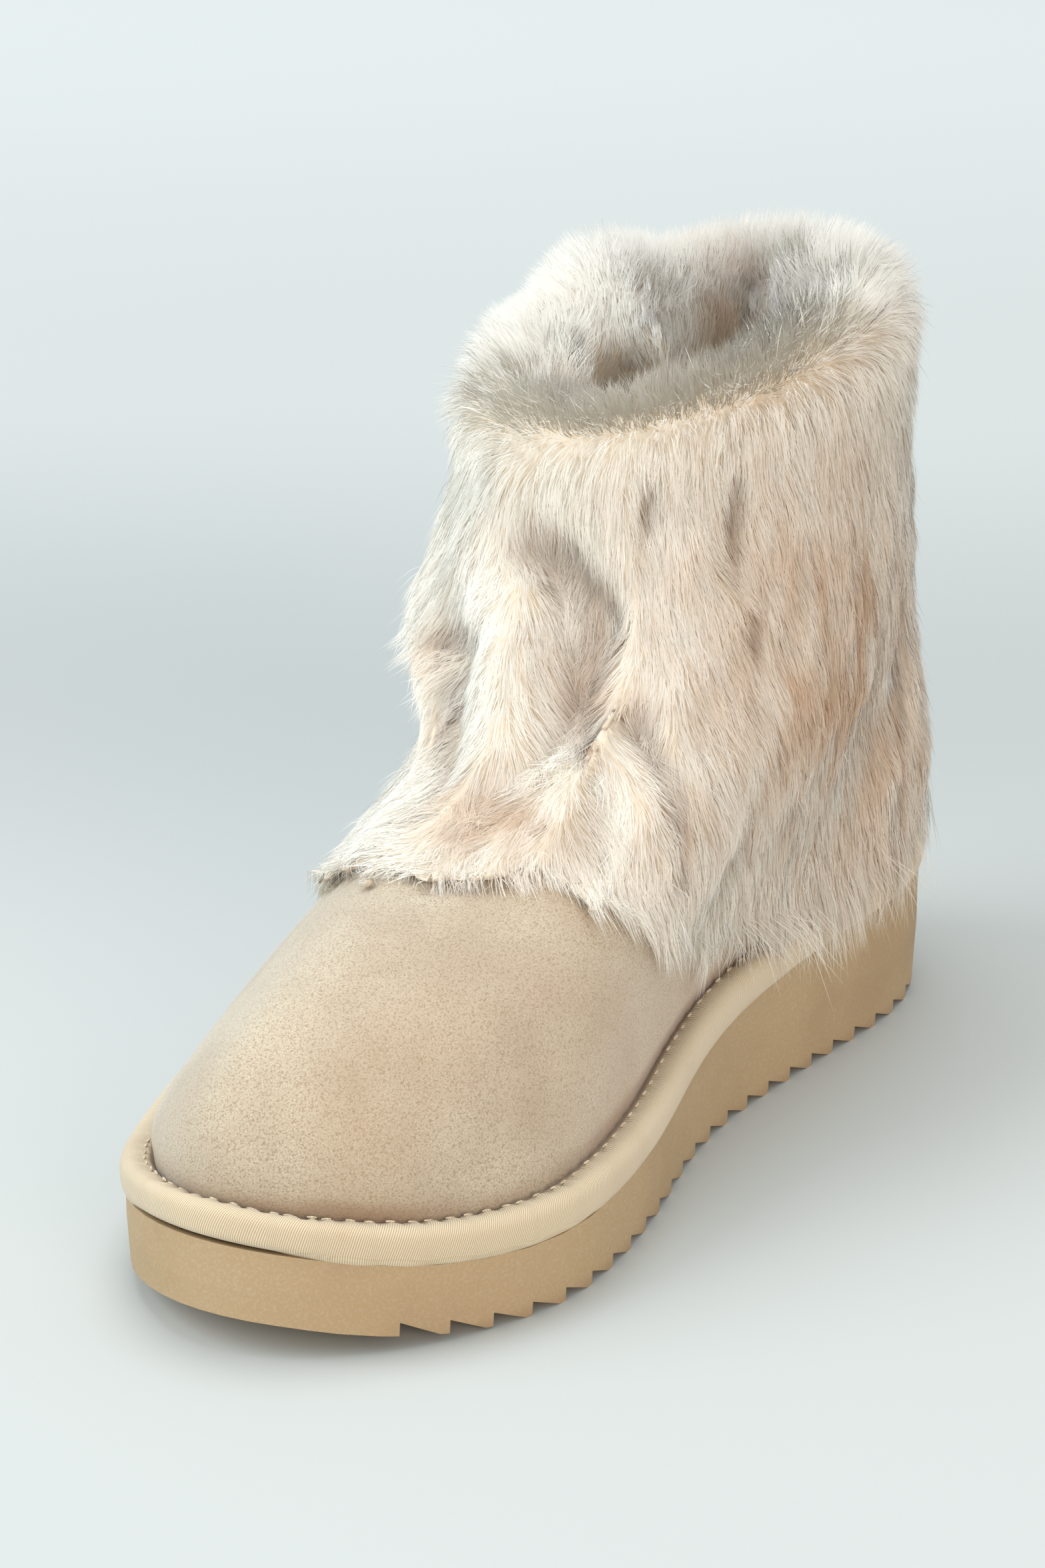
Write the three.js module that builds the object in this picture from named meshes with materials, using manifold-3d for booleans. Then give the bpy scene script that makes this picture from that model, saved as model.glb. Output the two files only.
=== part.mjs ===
// Short sheepskin boot for the right foot, standing empty on its wedge sole.
// Lengths are millimetres. The origin lies on the floor under the middle of the heel.
// +X points to the toe, +Y to the inner side of the foot and +Z up.
//
// Every closed line around the boot is run by an angle: 0 at the back of the heel,
// 90 degrees on the inner side, 180 at the toe and 270 on the outer side.

import * as THREE from 'three';
import Module from 'manifold-3d';
import { mergeVertices } from 'three/addons/utils/BufferGeometryUtils.js';

const wasm = await Module();
wasm.setup();

// Sole
const soleLength = 270; // back of the heel to the tip of the toe
const ballWidth = 111; // across the ball of the foot
const heelSeat = 33; // back of the sole to the middle of the heel
const heelSoleHeight = 31;
const ballSoleHeight = 16.5;
const toeSpring = 9.5; // how far the tip of the toe is lifted
const springStart = 0.8; // share of the length where the lift begins
const soleUndercut = 0.8; // the side leans in this far towards the floor

// Sawtooth tread
const treadPitch = 9.5;
const treadDepth = 3.2;
const treadLand = 1.7; // flat tip of each tooth
const treadFrontMargin = 22; // smooth sole behind the tip of the toe
const treadRearMargin = 13;
const padInset = 15; // flat pads under heel and ball keep this far from the edge

// Board under the upper, wrapped at its edge with a stitched tape
const boardThickness = 4;
const bandHeight = 8.6;
const bandOverhang = 1.5; // the tape stands out over the sole
const bandLedge = 6; // edge of the sole to the suede
const bandRound = 3.4;

// Suede upper and insole
const shaftHeight = 128; // rim of the tape to the edge of the suede at the back
const upperWall = 3;
const collarRise = 5; // the inner side of the collar stands this much higher, the outer side lower
const insoleThickness = 5;
const insoleClearance = 0.7;
const insoleRound = 1.2;

// Fur cuff, folded over the collar
const pileDepth = 11;
const liningPile = 8;
const rollHeight = 11;
const lipDepth = 38; // how far the cuff reaches down inside the shaft
const lockLength = 29;
const lockWidth = 19;
const lockProud = 2.6;
const lockRowDrop = 18; // from one row of locks to the next
const lockHang = 4; // the lowest locks hang this far under the hem, but stop above the tape
const hangStop = 0.3; // share of the way from the hem to the tape
const thinnestPile = 0.25; // share of the pile's depth, in the folds and at the hem

// Gaps between pieces that touch
const seatGap = 0.3;
const cuffGap = 0.7;

const ringSteps = 50;
const soleSteps = { profile: 27, spring: 8, rim: 72, pad: 24 };
const fullTurn = 2 * Math.PI;
const { lerp, clamp, smoothstep, degToRad } = THREE.MathUtils;

// Half width of the sole on each side, as a share of the ball width, before the ends are rounded.
const outlineRows = [
  { at: 0, medial: 0.62, lateral: 0.68 },
  { at: 0.13, medial: 0.485, lateral: 0.55 },
  { at: 0.25, medial: 0.378, lateral: 0.47 },
  { at: 0.4, medial: 0.325, lateral: 0.445 },
  { at: 0.5, medial: 0.35, lateral: 0.47 },
  { at: 0.6, medial: 0.43, lateral: 0.52 },
  { at: 0.7, medial: 0.515, lateral: 0.56 },
  { at: 0.78, medial: 0.575, lateral: 0.56 },
  { at: 0.86, medial: 0.592, lateral: 0.565 },
  { at: 0.93, medial: 0.597, lateral: 0.58 },
  { at: 1, medial: 0.58, lateral: 0.58 },
];

// Height of the wedge between ball (0) and heel (1).
const wedgeRows = [
  { at: 0, wedge: 1 },
  { at: 0.15, wedge: 1 },
  { at: 0.3, wedge: 0.9 },
  { at: 0.45, wedge: 0.59 },
  { at: 0.6, wedge: 0.23 },
  { at: 0.75, wedge: 0.04 },
  { at: 0.86, wedge: 0 },
  { at: 1, wedge: 0 },
];

// The last from the board (at 0) to the collar (at 1), seen from the side.
// front and back: where a section meets the middle of the boot, shares of the sole's length.
// frontUp and backUp: height over the rim of the tape there, shares of the shaft's height.
const profileRows = [
  { at: 0, front: 0.978, frontUp: 0, back: 0.022, backUp: 0 },
  { at: 0.045, front: 0.978, frontUp: 0, back: 0.022, backUp: 0 },
  { at: 0.08, front: 0.984, frontUp: 0.027, back: 0.019, backUp: 0.023 },
  { at: 0.12, front: 0.982, frontUp: 0.08, back: 0.018, backUp: 0.066 },
  { at: 0.19, front: 0.957, frontUp: 0.182, back: 0.018, backUp: 0.151 },
  { at: 0.27, front: 0.904, frontUp: 0.286, back: 0.021, backUp: 0.229 },
  { at: 0.35, front: 0.826, frontUp: 0.357, back: 0.026, backUp: 0.307 },
  { at: 0.43, front: 0.737, frontUp: 0.4, back: 0.031, backUp: 0.385 },
  { at: 0.51, front: 0.647, frontUp: 0.443, back: 0.037, backUp: 0.463 },
  { at: 0.6, front: 0.561, frontUp: 0.502, back: 0.044, backUp: 0.54 },
  { at: 0.7, front: 0.492, frontUp: 0.595, back: 0.052, backUp: 0.634 },
  { at: 0.8, front: 0.453, frontUp: 0.72, back: 0.059, backUp: 0.742 },
  { at: 0.9, front: 0.434, frontUp: 0.83, back: 0.064, backUp: 0.868 },
  { at: 1, front: 0.427, frontUp: 0.92, back: 0.067, backUp: 1 },
];

// The same sections, seen from above.
// medial and lateral: widest half width, shares of the ball width.
// sway: how far the section is moved to the inner side, a share of the ball width.
// slim: how much the outer side narrows towards the front, a share of its half width.
// oval: 0 for the shape of the sole, 1 for an oval. free: 0 along the tape, 1 clear of it.
const sectionRows = [
  { at: 0, medial: 0.433, lateral: 0.462, sway: 0, slim: 0, oval: 0, free: 0 },
  { at: 0.045, medial: 0.433, lateral: 0.462, sway: 0, slim: 0, oval: 0, free: 0 },
  { at: 0.08, medial: 0.437, lateral: 0.466, sway: 0, slim: 0, oval: 0, free: 0.75 },
  { at: 0.12, medial: 0.433, lateral: 0.462, sway: 0, slim: 0.05, oval: 0, free: 1 },
  { at: 0.19, medial: 0.416, lateral: 0.438, sway: -0.002, slim: 0.26, oval: 0.05, free: 1 },
  { at: 0.27, medial: 0.388, lateral: 0.405, sway: -0.004, slim: 0.44, oval: 0.22, free: 1 },
  { at: 0.35, medial: 0.36, lateral: 0.372, sway: -0.008, slim: 0.48, oval: 0.5, free: 1 },
  { at: 0.43, medial: 0.342, lateral: 0.35, sway: -0.016, slim: 0.48, oval: 0.8, free: 1 },
  { at: 0.51, medial: 0.336, lateral: 0.342, sway: -0.028, slim: 0.42, oval: 1, free: 1 },
  { at: 0.6, medial: 0.336, lateral: 0.34, sway: -0.042, slim: 0.26, oval: 1, free: 1 },
  { at: 0.7, medial: 0.337, lateral: 0.338, sway: -0.055, slim: 0.1, oval: 1, free: 1 },
  { at: 0.8, medial: 0.338, lateral: 0.338, sway: -0.065, slim: 0, oval: 1, free: 1 },
  { at: 0.9, medial: 0.34, lateral: 0.34, sway: -0.071, slim: 0, oval: 1, free: 1 },
  { at: 1, medial: 0.342, lateral: 0.342, sway: -0.075, slim: 0, oval: 1, free: 1 },
];

// The hem of the cuff rides up over the vamp. Places on the wall, as in the sections of the last.
const rimAt = 0.045; // the wall leaves the rim of the tape here
const hemSideAt = 0.095;
const hemFrontAt = 0.445;
const hemRiseStart = degToRad(60);
const hemRiseEnd = { medial: degToRad(154), lateral: degToRad(168) };

// Share of the pile's depth from the hem (0) to the collar (1), at the front and at the back.
const pileRows = [
  { at: 0, front: 0.25, back: 0.4 },
  { at: 0.05, front: 0.5, back: 0.62 },
  { at: 0.14, front: 0.75, back: 0.72 },
  { at: 0.3, front: 0.9, back: 0.85 },
  { at: 0.6, front: 1, back: 0.95 },
  { at: 1, front: 0.95, back: 0.95 },
];

// Folds of the cuff, each a soft trough (deep above 0) or ridge (below 0) from one place to another.
// Angles in degrees, heights as shares of the heel's and shaft's height, deep and wide as
// shares of the pile's depth.
const foldRows = [
  { angle: 182, up: 0.83, toAngle: 170, toUp: 0.78, deep: 0.55, wide: 0.75 },
  { angle: 170, up: 0.78, toAngle: 161, toUp: 0.73, deep: 0.4, wide: 0.6 },
  { angle: 161, up: 0.73, toAngle: 156, toUp: 0.585, deep: 0.6, wide: 0.55 },
  { angle: 188, up: 0.75, toAngle: 176, toUp: 0.61, deep: -0.4, wide: 1.1 },
  { angle: 202, up: 0.68, toAngle: 195, toUp: 0.57, deep: 0.45, wide: 0.5 },
  { angle: 216, up: 0.66, toAngle: 206, toUp: 0.665, deep: 0.35, wide: 0.35 },
  { angle: 227, up: 0.72, toAngle: 223, toUp: 0.64, deep: -0.75, wide: 1 },
  { angle: 165, up: 0.555, toAngle: 186, toUp: 0.55, deep: 0.45, wide: 0.85 },
  { angle: 205, up: 0.54, toAngle: 245, toUp: 0.5, deep: 0.6, wide: 1.4 },
  { angle: 149, up: 0.57, toAngle: 143, toUp: 0.5, deep: -0.3, wide: 0.9 },
  { angle: 139, up: 0.61, toAngle: 127, toUp: 0.48, deep: 0.35, wide: 0.45 },
  { angle: 151, up: 0.9, toAngle: 151, toUp: 0.8, deep: 0.2, wide: 0.4 },
  { angle: 131, up: 0.93, toAngle: 130, toUp: 0.78, deep: 0.2, wide: 0.4 },
  { angle: 122, up: 0.78, toAngle: 121, toUp: 0.64, deep: 0.22, wide: 0.4 },
  { angle: 109, up: 0.68, toAngle: 105, toUp: 0.5, deep: 0.2, wide: 0.4 },
  { angle: 96, up: 0.62, toAngle: 94, toUp: 0.44, deep: 0.2, wide: 0.4 },
  { angle: 242, up: 0.75, toAngle: 232, toUp: 0.45, deep: 0.3, wide: 0.8 },
  { angle: 292, up: 0.8, toAngle: 284, toUp: 0.4, deep: 0.25, wide: 0.9 },
  { angle: 352, up: 0.7, toAngle: 356, toUp: 0.4, deep: 0.2, wide: 1 },
  { angle: 52, up: 0.6, toAngle: 62, toUp: 0.38, deep: 0.2, wide: 0.9 },
];

// Folds of the fur inside the collar, shares of the lining's pile. deep below 0 bulges inwards.
const liningRows = [
  { angle: 238, deep: -1.3, wide: 1.7 },
  { angle: 318, deep: -0.4, wide: 1.3 },
  { angle: 12, deep: 0.5, wide: 0.6 },
  { angle: 40, deep: -0.3, wide: 1.2 },
];

// Smooth curve through one column of a table.
function along(rows, column, at) {
  const place = clamp(at, rows[0].at, rows[rows.length - 1].at);
  let low = 0;
  while (low < rows.length - 2 && rows[low + 1].at < place) {
    low += 1;
  }
  const slopeBetween = (a, b) => (rows[b][column] - rows[a][column]) / (rows[b].at - rows[a].at);
  const slopeAt = (i) => slopeBetween(Math.max(i - 1, 0), Math.min(i + 1, rows.length - 1));
  const span = rows[low + 1].at - rows[low].at;
  const t = (place - rows[low].at) / span;
  const start = rows[low][column];
  const end = rows[low + 1][column];
  const startSlope = slopeAt(low) * span;
  const endSlope = slopeAt(low + 1) * span;
  const bend = t * t * (3 - 2 * t);
  return lerp(start, end, bend) + t * (1 - t) * (startSlope * (1 - t) - endSlope * t);
}

const shareOf = (angle) => (1 - Math.cos(angle)) / 2;
const sideOf = (angle) => (Math.sin(angle) >= 0 ? 'medial' : 'lateral');
const shareOfX = (x) => clamp((x + heelSeat) / soleLength, 0, 1);

// Heights along the boot

function soleBottom(x) {
  const rise = Math.max(0, (shareOfX(x) - springStart) / (1 - springStart));
  return toeSpring * rise * rise;
}

function soleTop(x) {
  const wedge = along(wedgeRows, 'wedge', shareOfX(x));
  return soleBottom(x) + lerp(ballSoleHeight, heelSoleHeight, wedge);
}

const boardTop = (x) => soleTop(x) + seatGap + boardThickness;

// Outline of the sole, moved inwards by inset

function outlineEdge(angle) {
  const at = shareOf(angle);
  const half = ballWidth * along(outlineRows, sideOf(angle), at);
  return new THREE.Vector2(soleLength * at - heelSeat, Math.sin(angle) * half);
}

function outline(angle, inset) {
  const step = 0.001;
  const run = outlineEdge(angle + step).sub(outlineEdge(angle - step)).normalize();
  const inward = new THREE.Vector2(run.y, -run.x);
  return outlineEdge(angle).addScaledVector(inward, inset);
}

// Widest half width of the outline on one side, as a share of the ball width.
function widestHalf(side) {
  let widest = 0;
  for (let at = 0.5; at < 0.9; at += 0.01) {
    const ending = 2 * Math.sqrt(at * (1 - at));
    widest = Math.max(widest, ending * along(outlineRows, side, at));
  }
  return widest;
}

const footHalf = { medial: widestHalf('medial'), lateral: widestHalf('lateral') };

// Outer skin of the upper at a place up the wall and an angle around it.
function skin(at, angle) {
  const profile = (column) => along(profileRows, column, at);
  const section = (column) => along(sectionRows, column, at);
  const side = sideOf(angle);
  const share = shareOf(angle);
  const footShape = along(outlineRows, side, share) / footHalf[side];
  const slim = side === 'lateral' ? section('slim') * share * share : 0;
  const half = section(side) * ballWidth * lerp(footShape, 1, section('oval')) * (1 - slim);
  const ring = new THREE.Vector2(
    lerp(profile('back'), profile('front'), share) * soleLength - heelSeat,
    Math.sin(angle) * half + section('sway') * ballWidth,
  );
  const spot = outline(angle, bandLedge).lerp(ring, section('free'));
  const seated = (bandHeight - boardThickness) * Math.min(at / rimAt, 1);
  const rise = seated + shaftHeight * lerp(profile('backUp'), profile('frontUp'), share);
  const tilt = collarRise * Math.sin(angle) * at * at;
  return new THREE.Vector3(spot.x, spot.y, boardTop(spot.x) + seatGap + rise + tilt);
}

// Outward direction of the skin, level where the wall meets the board or ends at the collar.
function skinNormal(at, angle) {
  const step = 0.002;
  const around = skin(at, angle + step).sub(skin(at, angle - step));
  const up = skin(Math.min(at + step, 1), angle).sub(skin(Math.max(at - step, 0), angle));
  const normal = up.cross(around).normalize();
  const level = at < step || at > 1 - step;
  return level ? normal.setZ(0).normalize() : normal;
}

const offSkin = (at, angle, offset) => skin(at, angle).addScaledVector(skinNormal(at, angle), offset);

// Solids from rings of points

// Joins rings in order. Around closes the last ring onto the first, and otherwise both ends are
// closed straight across the boot.
function ringSolid(rings, around) {
  const positions = rings.flatMap((ring) => ring.flatMap((point) => point.toArray()));
  const steps = rings[0].length;
  const corner = (ring, step) => (ring % rings.length) * steps + (step % steps);
  const faces = [];
  const joins = around ? rings.length : rings.length - 1;
  for (let ring = 0; ring < joins; ring += 1) {
    for (let step = 0; step < steps; step += 1) {
      faces.push([corner(ring, step), corner(ring + 1, step + 1), corner(ring, step + 1)]);
      faces.push([corner(ring, step), corner(ring + 1, step), corner(ring + 1, step + 1)]);
    }
  }
  if (!around) {
    const top = rings.length - 1;
    for (let step = 0; step < steps / 2; step += 1) {
      const across = steps - step;
      faces.push([corner(0, step), corner(0, step + 1), corner(0, across)]);
      faces.push([corner(0, step + 1), corner(0, across - 1), corner(0, across)]);
      faces.push([corner(top, step), corner(top, across), corner(top, step + 1)]);
      faces.push([corner(top, step + 1), corner(top, across), corner(top, across - 1)]);
    }
  }
  return weld(positions, faces.flat());
}

// Merges points that meet and leaves out triangles that have shrunk to a line.
function weld(positions, index) {
  const loose = new THREE.BufferGeometry();
  loose.setAttribute('position', new THREE.Float32BufferAttribute(positions, 3));
  loose.setIndex(index);
  const merged = mergeVertices(loose, 1e-3);
  const kept = [];
  for (let i = 0; i < merged.index.count; i += 3) {
    const [a, b, c] = [0, 1, 2].map((k) => merged.index.getX(i + k));
    if (a !== b && b !== c && c !== a) {
      kept.push(a, b, c);
    }
  }
  merged.setIndex(kept);
  return merged;
}

function solidOf(geometry) {
  const bare = geometry.clone();
  bare.deleteAttribute('normal');
  bare.deleteAttribute('uv');
  const merged = mergeVertices(bare, 1e-3);
  return new wasm.Manifold(new wasm.Mesh({
    numProp: 3,
    vertProperties: new Float32Array(merged.attributes.position.array),
    triVerts: new Uint32Array(merged.index.array),
  }));
}

function geometryOf(solid) {
  const mesh = solid.getMesh();
  const geometry = new THREE.BufferGeometry();
  geometry.setAttribute('position', new THREE.BufferAttribute(mesh.vertProperties, 3));
  geometry.setIndex(new THREE.BufferAttribute(mesh.triVerts, 1));
  return geometry;
}

// Fills the pockets left inside a solid where its joined pieces cross: keeps only the shell with
// the most triangles.
function withoutPockets(geometry) {
  const index = geometry.index.array;
  const leader = Array.from({ length: geometry.attributes.position.count }, (_, i) => i);
  const find = (i) => {
    let top = i;
    while (leader[top] !== top) {
      top = leader[top];
    }
    leader[i] = top;
    return top;
  };
  for (let i = 0; i < index.length; i += 3) {
    leader[find(index[i + 1])] = find(index[i]);
    leader[find(index[i + 2])] = find(index[i]);
  }
  const shells = new Map();
  for (let i = 0; i < index.length; i += 3) {
    const shell = find(index[i]);
    shells.set(shell, [...(shells.get(shell) ?? []), index[i], index[i + 1], index[i + 2]]);
  }
  const outer = [...shells.values()].sort((a, b) => b.length - a.length)[0];
  geometry.setIndex(outer);
  return geometry;
}

// Prism across the boot from a side view drawn in X and Z.
function acrossPrism(corners, width) {
  const shape = new THREE.Shape(corners.map(([x, z]) => new THREE.Vector2(x, z)));
  const prism = new THREE.ExtrudeGeometry(shape, { depth: width, bevelEnabled: false, steps: 1 });
  prism.rotateX(Math.PI / 2);
  prism.translate(0, width / 2, 0);
  return solidOf(prism);
}

function ringAt(steps, pointAt) {
  return Array.from({ length: steps }, (_, step) => pointAt((fullTurn * step) / steps));
}

// Outsole: wedge with toe spring, sawtooth tread and a flat pad under heel and ball

function outsoleGeometry() {
  const heelBack = -heelSeat;
  const toeTip = soleLength - heelSeat;
  const pastEnd = bandOverhang; // the side view runs past both ends of the outline
  const cutWidth = 2 * ballWidth;
  const evenly = (from, to, steps) => Array.from({ length: steps + 1 }, (_, i) => lerp(from, to, i / steps));
  const profileX = evenly(heelBack - pastEnd, toeTip + pastEnd, soleSteps.profile);
  const springX = evenly(springStart * soleLength - heelSeat, toeTip + pastEnd, soleSteps.spring);
  const lower = [[heelBack - pastEnd, 0], ...springX.map((x) => [x, soleBottom(x)])];
  const upper = profileX.map((x) => [x, soleTop(x)]).reverse();
  const side = acrossPrism([...lower, ...upper], cutWidth);

  const level = (inset, z) => ringAt(soleSteps.rim, (angle) => {
    const edge = outline(angle, inset);
    return new THREE.Vector3(edge.x, edge.y, z);
  });
  const under = -toeSpring;
  const over = heelSoleHeight + toeSpring + ballSoleHeight;
  const rim = solidOf(ringSolid([
    level(soleUndercut, under),
    level(soleUndercut, 0),
    level(0, heelSoleHeight / 2),
    level(0, over),
  ], false));
  let sole = side.intersect(rim);

  const pads = restPads.map((pad) => {
    const reach = 2 * treadDepth + toeSpring;
    const disc = new THREE.CylinderGeometry(1, 1, 2 * reach, soleSteps.pad);
    disc.rotateX(Math.PI / 2);
    disc.scale(pad.length / 2, pad.width / 2, 1);
    disc.translate(pad.x, pad.y, 0);
    return solidOf(disc);
  });
  const firstTip = toeTip - treadFrontMargin;
  for (let tip = firstTip; tip > heelBack + treadRearMargin + treadPitch; tip -= treadPitch) {
    const lift = soleBottom(tip);
    const rampEnd = tip - treadPitch + treadLand;
    const endLift = soleBottom(rampEnd);
    let notch = acrossPrism([
      [tip, lift - treadDepth],
      [tip, lift + treadDepth],
      [rampEnd, endLift],
      [rampEnd - treadLand / 2, endLift - treadDepth],
    ], cutWidth);
    for (const pad of pads) {
      notch = notch.subtract(pad);
    }
    sole = sole.subtract(notch);
  }
  return geometryOf(sole);
}

// Flat pads, in the middle of the sole at a share of its length.
function restPad(at, lengthShare) {
  const x = soleLength * at - heelSeat;
  const ending = 2 * Math.sqrt(at * (1 - at)) * ballWidth;
  const medial = ending * along(outlineRows, 'medial', at);
  const lateral = ending * along(outlineRows, 'lateral', at);
  return {
    x,
    y: (medial - lateral) / 2,
    width: medial + lateral - 2 * padInset,
    length: lengthShare * soleLength,
  };
}

const restPads = [restPad(0.15, 0.13), restPad(0.68, 0.2)];

// Wrapped board: flat under the foot, with a rounded rim that the upper sits inside

function boardGeometry() {
  const level = (inset, height) => ringAt(ringSteps, (angle) => {
    const edge = outline(angle, inset);
    const x = clamp(edge.x, -heelSeat, soleLength - heelSeat);
    return new THREE.Vector3(edge.x, edge.y, soleTop(x) + seatGap + height);
  });
  const rimStop = bandLedge - seatGap;
  const rings = [];
  const roundSteps = 3;
  for (let step = 0; step <= roundSteps; step += 1) {
    const turn = (Math.PI / 2) * (step / roundSteps);
    const out = bandRound * (1 - Math.sin(turn)) - bandOverhang;
    rings.push(level(out, bandRound * 0.6 * (1 - Math.cos(turn))));
  }
  for (let step = 0; step <= roundSteps; step += 1) {
    const turn = (Math.PI / 2) * (step / roundSteps);
    const out = bandRound * (1 - Math.cos(turn)) - bandOverhang;
    rings.push(level(out, bandHeight - bandRound * (1 - Math.sin(turn))));
  }
  rings.push(level(rimStop, bandHeight));
  rings.push(level(rimStop, boardThickness));
  return ringSolid(rings, false);
}

// Upper: one hollow wall, open at the collar and under the foot

const wallSteps = profileRows.map((row) => row.at);

function upperGeometry() {
  const outer = wallSteps.map((at) => ringAt(ringSteps, (angle) => skin(at, angle)));
  const inner = wallSteps.map((at) => ringAt(ringSteps, (angle) => offSkin(at, angle, -upperWall)));
  return ringSolid([...outer, ...inner.reverse()], true);
}

// Insole, lying on the board inside the upper

function insoleGeometry() {
  const inset = bandLedge + upperWall + insoleClearance;
  const level = (extra, height) => ringAt(ringSteps, (angle) => {
    const edge = outline(angle, inset + extra);
    return new THREE.Vector3(edge.x, edge.y, boardTop(edge.x) + seatGap + height);
  });
  const rings = [
    level(0, 0),
    level(0, insoleThickness - insoleRound),
    level(insoleRound, insoleThickness),
  ];
  return ringSolid(rings, false);
}

// Fur cuff: turned down over the collar to the hem, with its other edge inside the shaft

function hemAt(angle) {
  const fromBack = Math.abs(((angle + Math.PI) % fullTurn) - Math.PI);
  const rise = smoothstep(fromBack, hemRiseStart, hemRiseEnd[sideOf(angle)]);
  return lerp(hemSideAt, hemFrontAt, rise);
}

// How far the lowest locks hang under the hem, as a share of the way from the hem to the collar.
function hemHang(angle) {
  const hem = hemAt(angle);
  const wall = skin(1, angle).distanceTo(skin(hem, angle));
  const overTape = (hem - rimAt) / (1 - hem);
  return Math.min(lockHang / wall, hangStop * overTape);
}

// How deep the folds are at a place, as a share of the pile's depth.
function foldDepth(point, angle) {
  const height = heelSoleHeight + shaftHeight;
  const girth = ballWidth / 2;
  const here = new THREE.Vector2(angle * girth, point.z);
  let depth = 0;
  for (const fold of foldRows) {
    const start = new THREE.Vector2(degToRad(fold.angle) * girth, fold.up * height);
    const end = new THREE.Vector2(degToRad(fold.toAngle) * girth, fold.toUp * height);
    const run = end.clone().sub(start);
    const share = clamp(here.clone().sub(start).dot(run) / run.lengthSq(), 0, 1);
    const away = here.distanceTo(start.addScaledVector(run, share)) / (fold.wide * pileDepth);
    depth += fold.deep * Math.exp(-away * away);
  }
  return depth;
}

function liningDepth(angle) {
  let depth = 1;
  for (const fold of liningRows) {
    const turn = Math.abs(angle - degToRad(fold.angle));
    const away = (Math.min(turn, fullTurn - turn) * ballWidth) / 3 / (fold.wide * liningPile);
    depth -= fold.deep * Math.exp(-away * away);
  }
  return depth * liningPile;
}

// Outer face of the cuff, from the hem (0) to the collar (1).
function furFace(up, angle) {
  const at = lerp(hemAt(angle), 1, up);
  const backness = ((1 + Math.cos(angle)) / 2) ** 2;
  const pile = lerp(along(pileRows, 'front', up), along(pileRows, 'back', up), backness);
  const folded = smoothstep(up, 0, 0.1) * foldDepth(skin(at, angle), angle);
  return offSkin(at, angle, cuffGap + pileDepth * Math.max(thinnestPile, pile - folded));
}

// Rolled top of the cuff: turn 0 is its outer side, half a turn its inner side.
function furRoll(turn, angle) {
  const collar = skin(1, angle);
  const outward = skinNormal(1, angle);
  const outer = furFace(1, angle).sub(collar).dot(outward);
  const inner = -upperWall - cuffGap - liningDepth(angle);
  const across = (outer + inner) / 2 + ((outer - inner) / 2) * Math.cos(turn);
  return collar.addScaledVector(outward, across).setZ(collar.z + rollHeight * Math.sin(turn));
}

function cuffGeometry() {
  const around = (pointAt) => ringAt(ringSteps, pointAt);
  const rings = [];
  for (const up of [0, 0.05, 0.14, 0.26, 0.39, 0.52, 0.66, 0.82]) {
    rings.push(around((angle) => furFace(up, angle)));
  }
  const rollSteps = 4;
  for (let step = 0; step <= rollSteps; step += 1) {
    rings.push(around((angle) => furRoll((Math.PI * step) / rollSteps, angle)));
  }
  const inside = -upperWall - cuffGap;
  const lipAt = 1 - lipDepth / shaftHeight;
  const lining = (down, share) => around((angle) => {
    return offSkin(lerp(1, lipAt, down), angle, inside - share * liningDepth(angle));
  });
  rings.push(lining(0.5, 1), lining(0.9, 0.9), lining(1, 0.5), lining(1, 0));
  for (const at of wallSteps.filter((step) => step > lipAt)) {
    rings.push(around((angle) => offSkin(at, angle, inside)));
  }
  for (const offset of [inside, cuffGap]) {
    rings.push(around((angle) => {
      const point = offSkin(1, angle, offset);
      return point.setZ(point.z + cuffGap);
    }));
  }
  for (const at of wallSteps.filter((step) => step > hemSideAt).reverse()) {
    rings.push(around((angle) => offSkin(Math.max(at, hemAt(angle)), angle, cuffGap)));
  }
  rings.push(around((angle) => offSkin(hemAt(angle), angle, cuffGap)));
  return ringSolid(rings, true);
}

// Sections of a lock from its root to its tip. drop: share of its length. half: share of its width.
// ridge: how proud it is, a share of the most. edge and keel: how deep its edges and its underside
// are sunk, shares of the pile's depth there.
const lockRows = [
  { drop: 0, half: 0.2, ridge: -0.2, edge: 0.5, keel: 0.8 },
  { drop: 0.6, half: 0.5, ridge: 1, edge: 0.5, keel: 0.8 },
  { drop: 1, half: 0, ridge: 0, edge: 0.5, keel: 0.7 },
];

// Where the locks are rooted. low and span: shares of the way from the hem to the collar.
// apart: in widths of a lock. wander and uneven: how far places and lengths vary. lowest: length
// of the lowest row, a share of the others.
const lockLayout = { low: 0.12, span: 0.86, apart: 1.15, wander: 0.2, uneven: 0.15, lowest: 0.75 };

// One flat, pointed lock of fur that lies downwards on the face of the cuff.
function lockSolid(up, angle, length) {
  const wall = skin(1, angle).distanceTo(skin(hemAt(angle), angle));
  const place = (drop, sideways, proud, sunk) => {
    const turn = angle + (2 * sideways * lockWidth) / ballWidth;
    const low = Math.max(up - (drop * length) / wall, -hemHang(turn));
    const at = lerp(hemAt(turn), 1, low);
    const face = furFace(low, turn);
    const pile = face.distanceTo(skin(at, turn)) - cuffGap;
    return face.addScaledVector(skinNormal(at, turn), proud * lockProud - sunk * pile);
  };
  const rings = lockRows.map(({ drop, half, ridge, edge, keel }) => [
    place(drop, 0, 0, keel),
    place(drop, half, 0, edge),
    place(drop, 0, ridge, 0),
    place(drop, -half, 0, edge),
  ]);
  return solidOf(ringSolid(rings, false));
}

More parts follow.
